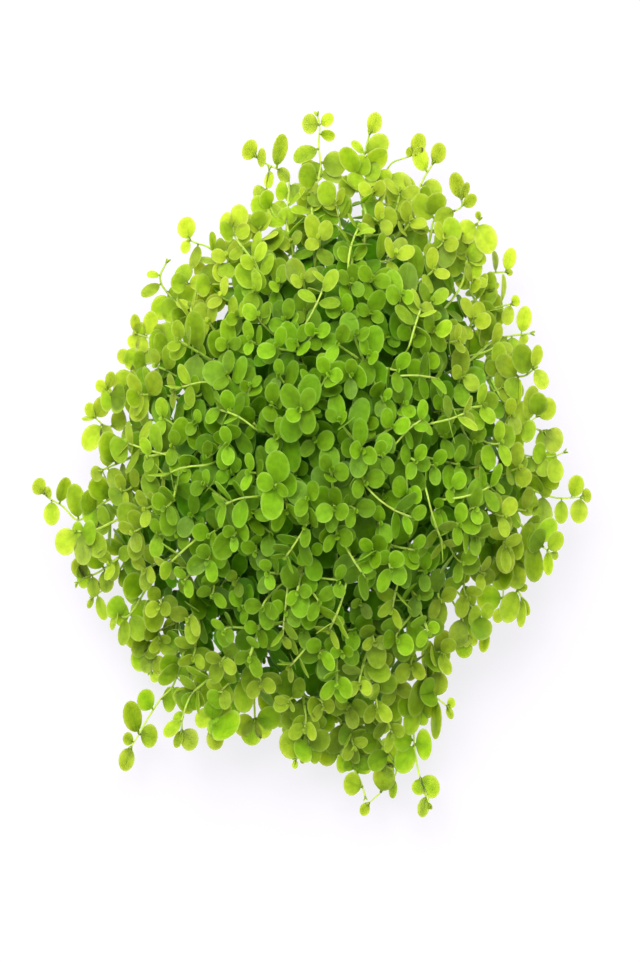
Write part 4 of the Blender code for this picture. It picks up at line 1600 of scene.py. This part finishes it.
def build_shoot(name, materials):
    """One shoot of the frame with its side shoots and leaves: leaf, stem and deep leaf materials."""
    plan = planned_growth()
    fine = Blade(FINE_ROWS, FINE_COLUMNS)
    plain = Blade(PLAIN_ROWS, PLAIN_COLUMNS)
    thickness = plan.shape.blade_thickness
    tones = own_numbers(name + " tones")
    parts = MeshParts()
    if not any(leaf.shoot == name for leaf in plan.leaves):
        raise RuntimeError(f"{name} has no leaves")
    for stem in plan.stems:
        if stem.shoot == name:
            points, faces, shares, turns = stem_tube(stem)
            tone = tones.random()
            parts.add(points, faces, STEM, age=1 - shares, tone=tone, along=shares, across=turns)
    for leaf in plan.leaves:
        if leaf.shoot == name:
            # Leaves deep in painted shade get the plain blade and the deep leaf material, a shaded copy
            # of the leaf material
            is_deep = leaf.depth > PLAIN_LEAF_DEPTH
            blade = plain if is_deep else fine
            sides = np.repeat((0.0, 1.0), blade.side_count)
            parts.add(
                blade.points(leaf, thickness),
                blade.faces,
                DEEP_LEAF if is_deep else LEAF,
                age=leaf.age,
                tone=leaf.tone,
                pale=leaf.pale,
                depth=leaf.depth,
                under=sides,
                along=np.tile(blade.along, 2),
                across=np.tile(blade.across, 2),
            )
    made = parts.to_object(name + "_leaves", materials)
    replace_node(made, name)


# The mat's outline from the floor up: shares of its radius and height
MAT_PROFILE = (
    (0.965, 0.0), (1.01, 0.10), (1.04, 0.24), (0.99, 0.55), (0.80, 0.82), (0.42, 0.97), (0.0, 1.0),
)
MAT_SEGMENTS = 128
MAT_ROWS = 34
MAT_LUMP_SIZE = 3.2 * MM
MAT_LUMP_HEIGHT = 0.55 * MM
FINE_LUMP_HEIGHT = 0.5
FINE_LUMP_COUNT = 2.3
SMOOTH_FOOT = 0.08
CUT_RINGS = 10


def mat_swell(angle):
    """How far the mat swells out in one direction."""
    return 1 + sum(size * math.sin(count * angle + turn) for count, size, turn in MAT_LOBES)


def mat_point(angle, share, raised=0.0):
    """A place on the mat: share goes from 0 at the floor to 1 on the crown."""
    marks = np.linspace(0.0, 1.0, len(MAT_PROFILE))
    radius = float(np.interp(share, marks, [row[0] for row in MAT_PROFILE])) * MAT_RADIUS
    height = float(np.interp(share, marks, [row[1] for row in MAT_PROFILE])) * MAT_HEIGHT
    swell = blend(1.0, mat_swell(angle), min(radius / MAT_RADIUS, 1.0))
    outward = Vector((math.cos(angle), math.sin(angle), 0.0))
    place = outward * (radius * swell) + UP * height
    fine_lump = noise.noise(place * FINE_LUMP_COUNT / MAT_LUMP_SIZE)
    lump = noise.noise(place / MAT_LUMP_SIZE) + FINE_LUMP_HEIGHT * fine_lump
    steepness = 1 - height / MAT_HEIGHT
    direction = (outward * steepness + UP * (1 - steepness)).normalized()
    return place + direction * (lump * MAT_LUMP_HEIGHT * smooth(0.0, SMOOTH_FOOT, share) + raised)


def mat_pad(parts):
    """The lumpy pad itself, closed below by the flat cut."""
    points, shares, faces = [], [], []
    for row in range(MAT_ROWS):
        share = row / MAT_ROWS
        for segment in range(MAT_SEGMENTS):
            points.append(mat_point(2 * math.pi * segment / MAT_SEGMENTS, share))
            shares.append(share)
    crown = len(points)
    points.append(mat_point(0.0, 1.0))
    shares.append(1.0)
    for row in range(MAT_ROWS - 1):
        faces.extend(ring_quads(row * MAT_SEGMENTS, (row + 1) * MAT_SEGMENTS, MAT_SEGMENTS))
    last = (MAT_ROWS - 1) * MAT_SEGMENTS
    for segment in range(MAT_SEGMENTS):
        faces.append((last + segment, last + (segment + 1) % MAT_SEGMENTS, crown))
    side_faces = len(faces)
    for ring in range(1, CUT_RINGS):
        shrink = 1 - ring / CUT_RINGS
        for segment in range(MAT_SEGMENTS):
            points.append(points[segment] * shrink)
            shares.append(0.0)
    centre = len(points)
    points.append(Vector((0.0, 0.0, 0.0)))
    shares.append(0.0)
    rings = [0] + [crown + 1 + ring * MAT_SEGMENTS for ring in range(CUT_RINGS - 1)]
    for outer, inner in zip(rings, rings[1:]):
        faces.extend(ring_quads(inner, outer, MAT_SEGMENTS))
    for segment in range(MAT_SEGMENTS):
        faces.append((rings[-1] + (segment + 1) % MAT_SEGMENTS, rings[-1] + segment, centre))
    count = len(parts.faces)
    parts.add(np.array(points), faces, PAD, along=np.array(shares))
    for index in range(count + side_faces, count + len(faces)):
        parts.materials[index] = CUT


ROOTLET_POINTS = 11
ROOTLET_SIDES = 5
ROOTLET_RADII = (0.09 * MM, 0.17 * MM)
ROOTLET_TURNS = (0.15, 0.6)
ROOTLET_CLIMB = 0.5
ROOTLET_RAISED = (0.0, 0.35)
RUNNER_POINTS = 16
RUNNER_RADII = (0.34 * MM, 0.52 * MM)
RUNNER_TURNS = (0.4, 1.1)
RUNNER_CLIMB = 0.35
STRAND_START_SHARES = (0.04, 0.9)
STRAND_SHARES = (0.03, 0.97)
STRAND_WANDER = 0.35
STRAND_THINNING = 0.45
LEAST_ROUND = 0.25


def crossing_strand(parts, numbers, count, radii, sides, material, turn, climb, raised):
    """A strand that wanders over the mat, pressed to it."""
    angle = numbers.uniform(0, 2 * math.pi)
    share = numbers.uniform(*STRAND_START_SHARES)
    heading = numbers.uniform(-1, 1)
    radius = numbers.uniform(*radii)
    places = []
    for _ in range(count):
        heading += numbers.uniform(-STRAND_WANDER, STRAND_WANDER)
        share = min(max(share + climb * heading / count, STRAND_SHARES[0]), STRAND_SHARES[1])
        spread = max(math.cos(share * math.pi / 2), LEAST_ROUND)
        angle += turn * (1 - 0.5 * abs(heading)) / count / spread
        places.append(mat_point(angle, share, raised + radius * 0.5))
    courses = []
    for step in range(count):
        ahead = places[min(step + 1, count - 1)] - places[max(step - 1, 0)]
        courses.append(ahead.normalized())
    ends = [abs(2 * step / (count - 1) - 1) for step in range(count)]
    radii = [radius * (1 - STRAND_THINNING * end**2) for end in ends]
    points, faces, shares, turns = tube(places, courses, radii, sides)
    points[:, 2] = np.maximum(points[:, 2], 0.0)
    age, tone = numbers.random(), numbers.random()
    parts.add(points, faces, material, age=age, tone=tone, along=shares, across=turns)


def build_root_mat(materials):
    """The mat of creeping stems and rootlets, cut off flat below."""
    shape = bpy.context.scene.clump_shape
    numbers = own_numbers("root mat")
    parts = MeshParts()
    mat_pad(parts)
    rootlet = (ROOTLET_POINTS, ROOTLET_RADII, ROOTLET_SIDES, ROOTLET)
    for _ in range(shape.rootlets):
        turn = numbers.uniform(*ROOTLET_TURNS) * numbers.choice((-1, 1))
        raised = numbers.uniform(*ROOTLET_RAISED) * MM
        crossing_strand(parts, numbers, *rootlet, turn, ROOTLET_CLIMB, raised)
    runner = (RUNNER_POINTS, RUNNER_RADII, TUBE_SIDES, RUNNER)
    for _ in range(shape.runners):
        turn = numbers.uniform(*RUNNER_TURNS) * numbers.choice((-1, 1))
        crossing_strand(parts, numbers, *runner, turn, RUNNER_CLIMB, 0.0)
    made = parts.to_object("root_mat_woven", materials)
    replace_node(made, "root_mat")


SPAN_INPUTS = ("Value", "From Min", "From Max", "To Min", "To Max")


class Graph:
    """Short calls for building a shader's node tree."""

    def __init__(self, tree):
        self.tree = tree

    def node(self, kind, **settings):
        made = self.tree.nodes.new(kind)
        for name, value in settings.items():
            setattr(made, name, value)
        return made

    def put(self, socket, value):
        """Links a socket to another one, or gives it a value."""
        if isinstance(value, bpy.types.NodeSocket):
            self.tree.links.new(value, socket)
        else:
            socket.default_value = value

    def attribute(self, name):
        return self.node("ShaderNodeAttribute", attribute_name=name).outputs["Fac"]

    def math(self, operation, first, second=0.0):
        made = self.node("ShaderNodeMath", operation=operation)
        self.put(made.inputs[0], first)
        self.put(made.inputs[1], second)
        return made.outputs["Value"]

    def times(self, first, second):
        return self.math("MULTIPLY", first, second)

    def plus(self, first, second):
        return self.math("ADD", first, second)

    def minus(self, first, second):
        return self.math("SUBTRACT", first, second)

    def span(self, value, low, high, to_low=0.0, to_high=1.0):
        """The value's place between low and high, as a place between two others."""
        made = self.node("ShaderNodeMapRange", interpolation_type="SMOOTHSTEP")
        for name, given in zip(SPAN_INPUTS, (value, low, high, to_low, to_high)):
            self.put(made.inputs[name], given)
        return made.outputs["Result"]

    def mix(self, factor, first, second):
        made = self.node("ShaderNodeMix", data_type="RGBA")
        self.put(made.inputs["Factor"], factor)
        self.put(made.inputs[6], first)
        self.put(made.inputs[7], second)
        return made.outputs[2]

    def shade(self, colour, value, saturation=1.0):
        """A colour made lighter or darker, fuller or greyer."""
        made = self.node("ShaderNodeHueSaturation")
        self.put(made.inputs["Value"], value)
        self.put(made.inputs["Saturation"], saturation)
        self.put(made.inputs["Color"], colour)
        return made.outputs["Color"]

    def grain(self, size, detail=3.0, distortion=0.0):
        """Soft noise with patches of about the given size in metres."""
        place = self.node("ShaderNodeTexCoord").outputs["Object"]
        made = self.node("ShaderNodeTexNoise")
        self.put(made.inputs["Vector"], place)
        made.inputs["Scale"].default_value = 1 / size
        made.inputs["Detail"].default_value = detail
        made.inputs["Distortion"].default_value = distortion
        return made.outputs["Fac"]


def make_group(name, inputs, outputs):
    """An empty shader node group with its sockets."""
    tree = bpy.data.node_groups.new(name, "ShaderNodeTree")
    for label, kind, default in inputs:
        socket = tree.interface.new_socket(label, in_out="INPUT", socket_type=kind)
        socket.default_value = default
    for label, kind in outputs:
        tree.interface.new_socket(label, in_out="OUTPUT", socket_type=kind)
    graph = Graph(tree)
    return graph, graph.node("NodeGroupInput").outputs, graph.node("NodeGroupOutput").inputs


COLOUR = "NodeSocketColor"
NUMBER = "NodeSocketFloat"
GREEN = (0.2, 0.4, 0.02, 1.0)


def leaf_tint_group():
    """A leaf's colour from its age and tone, painted glow and painted shade from its place in the clump,
    and the place on its blade: darker towards the stalk and along the midline, with a painted highlight
    along the margin and at the tip.
    """
    graph, given, result = make_group(
        "Leaf Tint",
        (
            ("Young", COLOUR, GREEN),
            ("Grown", COLOUR, GREEN),
            ("Pale", COLOUR, GREEN),
            ("Shaded", COLOUR, GREEN),
            ("Underside", COLOUR, GREEN),
        ),
        (("Color", COLOUR),),
    )
    along = graph.attribute("along")
    across = graph.math("ABSOLUTE", graph.attribute("across"))
    colour = graph.mix(graph.attribute("age"), given["Young"], given["Grown"])
    # Painted glow: the pale colour near the clump's edge and on its far side
    colour = graph.mix(graph.attribute("pale"), colour, given["Pale"])
    # Painted shade: the dark shaded colour well below the dome
    colour = graph.mix(graph.attribute("depth"), colour, given["Shaded"])
    colour = graph.mix(graph.times(graph.attribute("under"), 0.5), colour, given["Underside"])
    value = graph.span(graph.attribute("tone"), 0.0, 1.0, 0.72, 1.20)
    value = graph.times(value, graph.span(graph.grain(1.6 * MM), 0.3, 0.7, 0.88, 1.09))
    value = graph.times(value, graph.span(along, 0.05, 0.5, 0.78, 1.0))
    midline = graph.times(graph.span(across, 0.0, 0.3, 1.0, 0.0), graph.span(along, 0.3, 0.9, 1.0, 0.0))
    value = graph.times(value, graph.minus(1.0, graph.times(midline, 0.07)))
    # Painted highlight: lighter and greyer along the blade's margin and at its tip
    rim = graph.math("MAXIMUM", graph.span(across, 0.72, 1.0), graph.span(along, 0.88, 1.0))
    value = graph.times(value, graph.plus(1.0, graph.times(rim, 0.19)))
    fullness = graph.minus(1.0, graph.times(rim, 0.08))
    graph.put(result["Color"], graph.shade(colour, value, fullness))
    return graph.tree


def blade_relief_group():
    """The height of a blade's surface: a sunken midrib, faint side veins and a fine grain."""
    vein_count = ("Vein Count", NUMBER, 5.0)
    graph, given, result = make_group("Blade Relief", (vein_count,), (("Height", NUMBER),))
    along = graph.attribute("along")
    across = graph.math("ABSOLUTE", graph.attribute("across"))
    midrib = graph.span(across, 0.0, 0.12, 1.0, 0.0)
    slant = graph.minus(along, graph.times(across, 0.28))
    wave = graph.math("SINE", graph.times(slant, graph.times(given["Vein Count"], 2 * math.pi)))
    vein = graph.times(graph.span(wave, 0.75, 1.0), graph.span(across, 0.55, 0.9, 1.0, 0.0))
    lines = graph.plus(graph.times(midrib, 0.4), graph.times(vein, 0.25))
    grain = graph.times(graph.grain(0.35 * MM), 0.35)
    graph.put(result["Height"], graph.minus(grain, lines))
    return graph.tree


def strand_group():
    """Streaks along a stem or a root, with darker patches."""
    graph, given, result = make_group(
        "Strand Streaks",
        (("Tip", COLOUR, GREEN), ("Foot", COLOUR, GREEN), ("Streaks", NUMBER, 5.0)),
        (("Color", COLOUR), ("Height", NUMBER)),
    )
    colour = graph.mix(graph.attribute("age"), given["Tip"], given["Foot"])
    turn = graph.times(graph.attribute("across"), graph.times(given["Streaks"], 2 * math.pi))
    streak = graph.span(graph.math("SINE", turn), -1.0, 1.0)
    patches = graph.span(graph.grain(1.1 * MM), 0.3, 0.7, 0.84, 1.1)
    value = graph.times(graph.span(streak, 0.0, 1.0, 0.86, 1.08), patches)
    value = graph.times(value, graph.span(graph.attribute("tone"), 0.0, 1.0, 0.88, 1.1))
    graph.put(result["Color"], graph.shade(colour, value))
    graph.put(result["Height"], graph.plus(streak, graph.grain(0.3 * MM)))
    return graph.tree


def group(build, name):
    """The node group of that name, built the first time that it is asked for."""
    return bpy.data.node_groups.get(name) or build()


def place_group(graph, tree, **values):
    """Puts a group into a material and gives its outputs."""
    made = graph.node("ShaderNodeGroup", node_tree=tree)
    for name, value in values.items():
        graph.put(made.inputs[name.replace("_", " ")], value)
    return made.outputs


def new_material(name, roughness, specular):
    """A material with its Principled shader, ready for its pattern."""
    material = bpy.data.materials.new(name)
    material.use_nodes = True
    shader = material.node_tree.nodes["Principled BSDF"]
    shader.inputs["Roughness"].default_value = roughness
    shader.inputs["Specular IOR Level"].default_value = specular
    return material, Graph(material.node_tree), shader


def add_relief(graph, shader, height, depth, strength=1.0):
    bump = graph.node("ShaderNodeBump")
    bump.inputs["Strength"].default_value = strength
    bump.inputs["Distance"].default_value = depth
    graph.put(bump.inputs["Height"], height)
    graph.put(shader.inputs["Normal"], bump.outputs["Normal"])


def add_glow(shader, depth):
    """Light that spreads inside thin leaves and stems."""
    shader.inputs["Subsurface Weight"].default_value = 1.0
    shader.inputs["Subsurface Radius"].default_value = (1.0, 1.0, 0.5)
    shader.inputs["Subsurface Scale"].default_value = depth


def opaque(colour):
    return (*colour, 1.0)


class ClumpColours(bpy.types.PropertyGroup):
    """Colours of the clump that a user would change."""

    # The outer shoots' colours are lighter and yellower than the inner shoots', partly as painted light:
    # glow at the clump's edge and shade in its middle
    rim_young: colour_property(
        "Rim leaf, young", "Youngest leaves of the outer shoots", (0.27, 0.405, 0.018)
    )
    rim_grown: colour_property(
        "Rim leaf, grown", "Grown leaves of the outer shoots", (0.165, 0.335, 0.005)
    )
    inner_young: colour_property(
        "Inner leaf, young", "Youngest leaves of the inner shoots", (0.182, 0.36, 0.005)
    )
    inner_grown: colour_property(
        "Inner leaf, grown", "Grown leaves of the inner shoots", (0.093, 0.23, 0.001)
    )
    # Painted glow: the colour that leaves take at the clump's edge and far side, standing in for the
    # light that shines through them there
    pale: colour_property(
        "Leaf at the edge", "Thin, pale leaves where the clump meets the light", (0.475, 0.61, 0.029)
    )
    # Painted shade: the dark colour that leaves take well below the dome
    shaded: colour_property(
        "Leaf in the shade", "Old, dark leaves deep under the dome", (0.078, 0.250, 0.001)
    )
    underside: colour_property("Leaf underside", "Lower sides of all leaves", (0.21, 0.41, 0.014))
    stem_tip: colour_property(
        "Stem near the tip", "Young stretches of the stems", (0.55, 0.80, 0.11)
    )
    stem_foot: colour_property(
        "Stem near the foot", "Old stretches of the stems", (0.42, 0.68, 0.06)
    )
    rootlet: colour_property("Rootlets", "Fine roots woven over the mat", (0.36, 0.30, 0.17))
    mat_dark: colour_property("Root mat, dark", "Depths of the root mat", (0.022, 0.022, 0.010))
    mat_light: colour_property(
        "Root mat, light", "Raised places of the root mat", (0.11, 0.105, 0.045)
    )


def leaf_material(name, young, grown, glow_depth, specular=0.13):
    """Thin, glowing blades that differ in age and tone, with painted glow and painted shade."""
    colours = bpy.context.scene.clump_colours
    material, graph, shader = new_material(name, 0.48, specular)
    tint = place_group(
        graph,
        group(leaf_tint_group, "Leaf Tint"),
        Young=opaque(young),
        Grown=opaque(grown),
        Pale=opaque(colours.pale),
        Shaded=opaque(colours.shaded),
        Underside=opaque(colours.underside),
    )
    relief = place_group(graph, group(blade_relief_group, "Blade Relief"), Vein_Count=5.0)
    graph.put(shader.inputs["Base Color"], tint["Color"])
    graph.put(shader.inputs["Roughness"], graph.span(graph.attribute("tone"), 0.0, 1.0, 0.42, 0.62))
    add_glow(shader, glow_depth)
    add_relief(graph, shader, relief["Height"], 0.05 * MM)
    return material


def strand_material(name, tip, foot, streaks, roughness, relief_depth):
    material, graph, shader = new_material(name, roughness, 0.35)
    tree = group(strand_group, "Strand Streaks")
    strand = place_group(graph, tree, Tip=opaque(tip), Foot=opaque(foot), Streaks=streaks)
    graph.put(shader.inputs["Base Color"], strand["Color"])
    add_relief(graph, shader, strand["Height"], relief_depth)
    return material


def mat_material():
    """Dark, crumbly, with raised threads."""
    colours = bpy.context.scene.clump_colours
    material, graph, shader = new_material("root_mat", 0.85, 0.2)
    lumps = graph.grain(1.4 * MM, 5.0, 1.2)
    folds = graph.math("ABSOLUTE", graph.minus(graph.grain(1.0 * MM, 2.0, 2.5), 0.5))
    threads = graph.span(folds, 0.0, 0.05, 1.0, 0.0)
    light = graph.math("MAXIMUM", graph.span(lumps, 0.42, 0.72), graph.times(threads, 0.8))
    colour = graph.mix(light, opaque(colours.mat_dark), opaque(colours.mat_light))
    graph.put(shader.inputs["Base Color"], colour)
    graph.put(shader.inputs["Roughness"], graph.span(lumps, 0.3, 0.7, 0.95, 0.7))
    add_relief(graph, shader, graph.plus(lumps, threads), 0.25 * MM)
    return material


def cut_material():
    """The flat cut: pale ends of stems and roots in dark crumbs."""
    colours = bpy.context.scene.clump_colours
    material, graph, shader = new_material("cut_face", 0.75, 0.25)
    cells = graph.node("ShaderNodeTexVoronoi", feature="F1")
    graph.put(cells.inputs["Vector"], graph.node("ShaderNodeTexCoord").outputs["Object"])
    cells.inputs["Scale"].default_value = 1 / (1.5 * MM)
    ends = graph.span(cells.outputs["Distance"], 0.22, 0.34, 1.0, 0.0)
    rings = graph.span(cells.outputs["Distance"], 0.05, 0.16, 0.0, 1.0)
    crumbs = graph.mix(graph.grain(0.8 * MM, 4.0), opaque(colours.mat_dark), opaque(colours.mat_light))
    end_colour = graph.mix(rings, opaque(colours.rootlet), opaque(colours.stem_tip))
    graph.put(shader.inputs["Base Color"], graph.mix(ends, crumbs, end_colour))
    add_relief(graph, shader, graph.times(ends, 0.6), 0.1 * MM)
    return material


def kept_material(name, build):
    """The material of that name, built the first time that it is asked for."""
    return bpy.data.materials.get(name) or build()


def deep_leaf_material():
    # A shaded copy of the leaf material for leaves deep under the dome: painted shade, with the grown
    # colour throughout and little sheen
    colours = bpy.context.scene.clump_colours
    return leaf_material("deep_leaf", colours.inner_grown, colours.inner_grown, 0.4 * MM, 0.06)


def stem_material():
    colours = bpy.context.scene.clump_colours
    material = strand_material("stem", colours.stem_tip, colours.stem_foot, 4.0, 0.5, 0.04 * MM)
    add_glow(material.node_tree.nodes["Principled BSDF"], 1.0 * MM)
    return material


class ClumpStage(bpy.types.PropertyGroup):
    """The floor and the light."""

    floor_glow: FloatProperty(
        name="Floor glow",
        description="Light that the pale floor gives off by itself",
        default=0.75,
    )
    room_light: FloatProperty(
        name="Room light",
        description="Strength of the even light from all sides",
        default=0.68,
    )
    key_power: FloatProperty(
        name="Key light power",
        description="Power of the large soft lamp on the far left",
        default=15.0,
        unit="POWER",
    )
    key_size: length_property("Key light size", "Edge length of the large soft lamp", 0.85)
    floor_colour: colour_property("Floor colour", "Colour of the pale floor", (0.23, 0.21, 0.25))


FLOOR_HALF = 2.0
KEY_PLACE = Vector((-0.16, 0.60, 1.00))
CAMERA_AIM = Vector((-2.5 * MM, -11.5 * MM, 17 * MM))
CAMERA_DISTANCE = 1.0
SENSOR_WIDTH = 36.0
PIXEL_SIZE = 0.25 * MM


def floor_material(values):
    material, graph, shader = new_material("floor", 0.9, 0.2)
    shade = graph.span(graph.grain(60 * MM), 0.0, 1.0, 0.99, 1.01)
    graph.put(shader.inputs["Base Color"], graph.shade(opaque(values.floor_colour), shade))
    shader.inputs["Emission Color"].default_value = (0.985, 0.975, 1.0, 1.0)
    shader.inputs["Emission Strength"].default_value = values.floor_glow
    return material


def add_floor(values):
    half = FLOOR_HALF
    mesh = bpy.data.meshes.new("floor")
    corners = [(-half, -half, 0), (half, -half, 0), (half, half, 0), (-half, half, 0)]
    mesh.from_pydata(corners, [], [(0, 1, 2, 3)])
    mesh.materials.append(floor_material(values))
    floor = link_object("floor", mesh)


def add_light(values):
    """Even light from all sides and one large soft lamp."""
    world = bpy.data.worlds.new("studio")
    bpy.context.scene.world = world
    world.use_nodes = True
    background = world.node_tree.nodes["Background"]
    background.inputs["Color"].default_value = (1.0, 1.0, 1.0, 1.0)
    background.inputs["Strength"].default_value = values.room_light
    light = bpy.data.lights.new("key", "AREA")
    light.energy = values.key_power
    light.size = values.key_size
    key = link_object("key", light)
    key.location = KEY_PLACE
    key.rotation_euler = (-KEY_PLACE).to_track_quat("-Z", "Y").to_euler()


def add_camera():
    """Straight above the clump, with the photograph's height across the sensor."""
    data = bpy.data.cameras.new("camera")
    data.sensor_width = SENSOR_WIDTH
    data.lens = SENSOR_WIDTH * CAMERA_DISTANCE / (IMAGE_HEIGHT * PIXEL_SIZE)
    data.clip_end = 10.0
    camera = link_object("camera", data)
    camera.location = CAMERA_AIM + UP * CAMERA_DISTANCE
    bpy.context.scene.camera = camera


def shoot_names(kinds):
    """The frame's shoots of the kinds given."""
    names = [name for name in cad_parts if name.startswith(kinds)]
    if not names:
        raise RuntimeError(f"the frame has no {kinds}")
    return names


def grow_shoots(kinds, leaf):
    """Every shoot of the kinds given, with one leaf material and the shared ones."""
    stem = kept_material("stem", stem_material)
    deep_leaf = kept_material("deep_leaf", deep_leaf_material)
    for name in shoot_names(kinds):
        build_shoot(name, (leaf, stem, deep_leaf))


class CLUMP_OT_rim_shoots(bpy.types.Operator):
    """Grow the outer shoots that arch over the clump's edge"""

    bl_idname = "clump.rim_shoots"
    bl_label = "Grow Outer Shoots"

    def execute(self, context):
        colours = context.scene.clump_colours
        leaf = leaf_material("leaf", colours.rim_young, colours.rim_grown, 0.9 * MM)
        grow_shoots("rim_shoot", leaf)
        return {"FINISHED"}


class CLUMP_OT_inner_shoots(bpy.types.Operator):
    """Grow the shoots that stand in three rings round the clump's middle"""

    bl_idname = "clump.inner_shoots"
    bl_label = "Grow Inner Shoots"

    def execute(self, context):
        colours = context.scene.clump_colours
        leaf = leaf_material("young_leaf", colours.inner_young, colours.inner_grown, 0.6 * MM)
        grow_shoots(tuple(f"{ring.kind}_shoot" for ring in INNER_RINGS), leaf)
        return {"FINISHED"}


class CLUMP_OT_root_mat(bpy.types.Operator):
    """Make the mat of creeping stems and rootlets that carries the shoots"""

    bl_idname = "clump.root_mat"
    bl_label = "Make Root Mat"

    def execute(self, context):
        if "root_mat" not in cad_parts:
            raise RuntimeError("the frame has no root_mat")
        colours = context.scene.clump_colours
        rootlet = strand_material("rootlet", colours.rootlet, colours.mat_light, 3.0, 0.7, 0.03 * MM)
        runner = strand_material("runner", colours.stem_foot, colours.mat_light, 4.0, 0.6, 0.06 * MM)
        build_root_mat((mat_material(), rootlet, runner, cut_material()))
        return {"FINISHED"}


class CLUMP_OT_stage(bpy.types.Operator):
    """Set the pale floor, the soft light and the camera straight above"""

    bl_idname = "clump.stage"
    bl_label = "Set Stage"

    def execute(self, context):
        values = context.scene.clump_stage
        context.scene.view_settings.view_transform = "Standard"
        add_floor(values)
        add_light(values)
        add_camera()
        return {"FINISHED"}


class CLUMP_PT_panel(bpy.types.Panel):
    """The clump's sizes, colours and steps"""

    bl_label = "Micranthemum Clump"
    bl_idname = "CLUMP_PT_panel"
    bl_space_type = "VIEW_3D"
    bl_region_type = "UI"
    bl_category = "Clump"

    def draw(self, context):
        layout = self.layout
        scene = context.scene
        for values in (scene.clump_shape, scene.clump_colours, scene.clump_stage):
            box = layout.box()
            for name in values.__annotations__:
                box.prop(values, name)
        for operator in OPERATORS:
            layout.operator(operator.bl_idname)


OPERATORS = (CLUMP_OT_stage, CLUMP_OT_root_mat, CLUMP_OT_inner_shoots, CLUMP_OT_rim_shoots)
CLASSES = (ClumpShape, ClumpColours, ClumpStage, *OPERATORS, CLUMP_PT_panel)


def register():
    for cls in CLASSES:
        bpy.utils.register_class(cls)
    bpy.types.Scene.clump_shape = PointerProperty(type=ClumpShape)
    bpy.types.Scene.clump_colours = PointerProperty(type=ClumpColours)
    bpy.types.Scene.clump_stage = PointerProperty(type=ClumpStage)


def unregister():
    del bpy.types.Scene.clump_stage
    del bpy.types.Scene.clump_colours
    del bpy.types.Scene.clump_shape
    for cls in reversed(CLASSES):
        bpy.utils.unregister_class(cls)


def write_sizes():
    """Brings the view layer up to date."""
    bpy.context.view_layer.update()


def main():
    register()
    bpy.ops.clump.stage()
    bpy.ops.clump.root_mat()
    bpy.ops.clump.inner_shoots()
    bpy.ops.clump.rim_shoots()
    write_sizes()


if __name__ == "__main__":
    main()
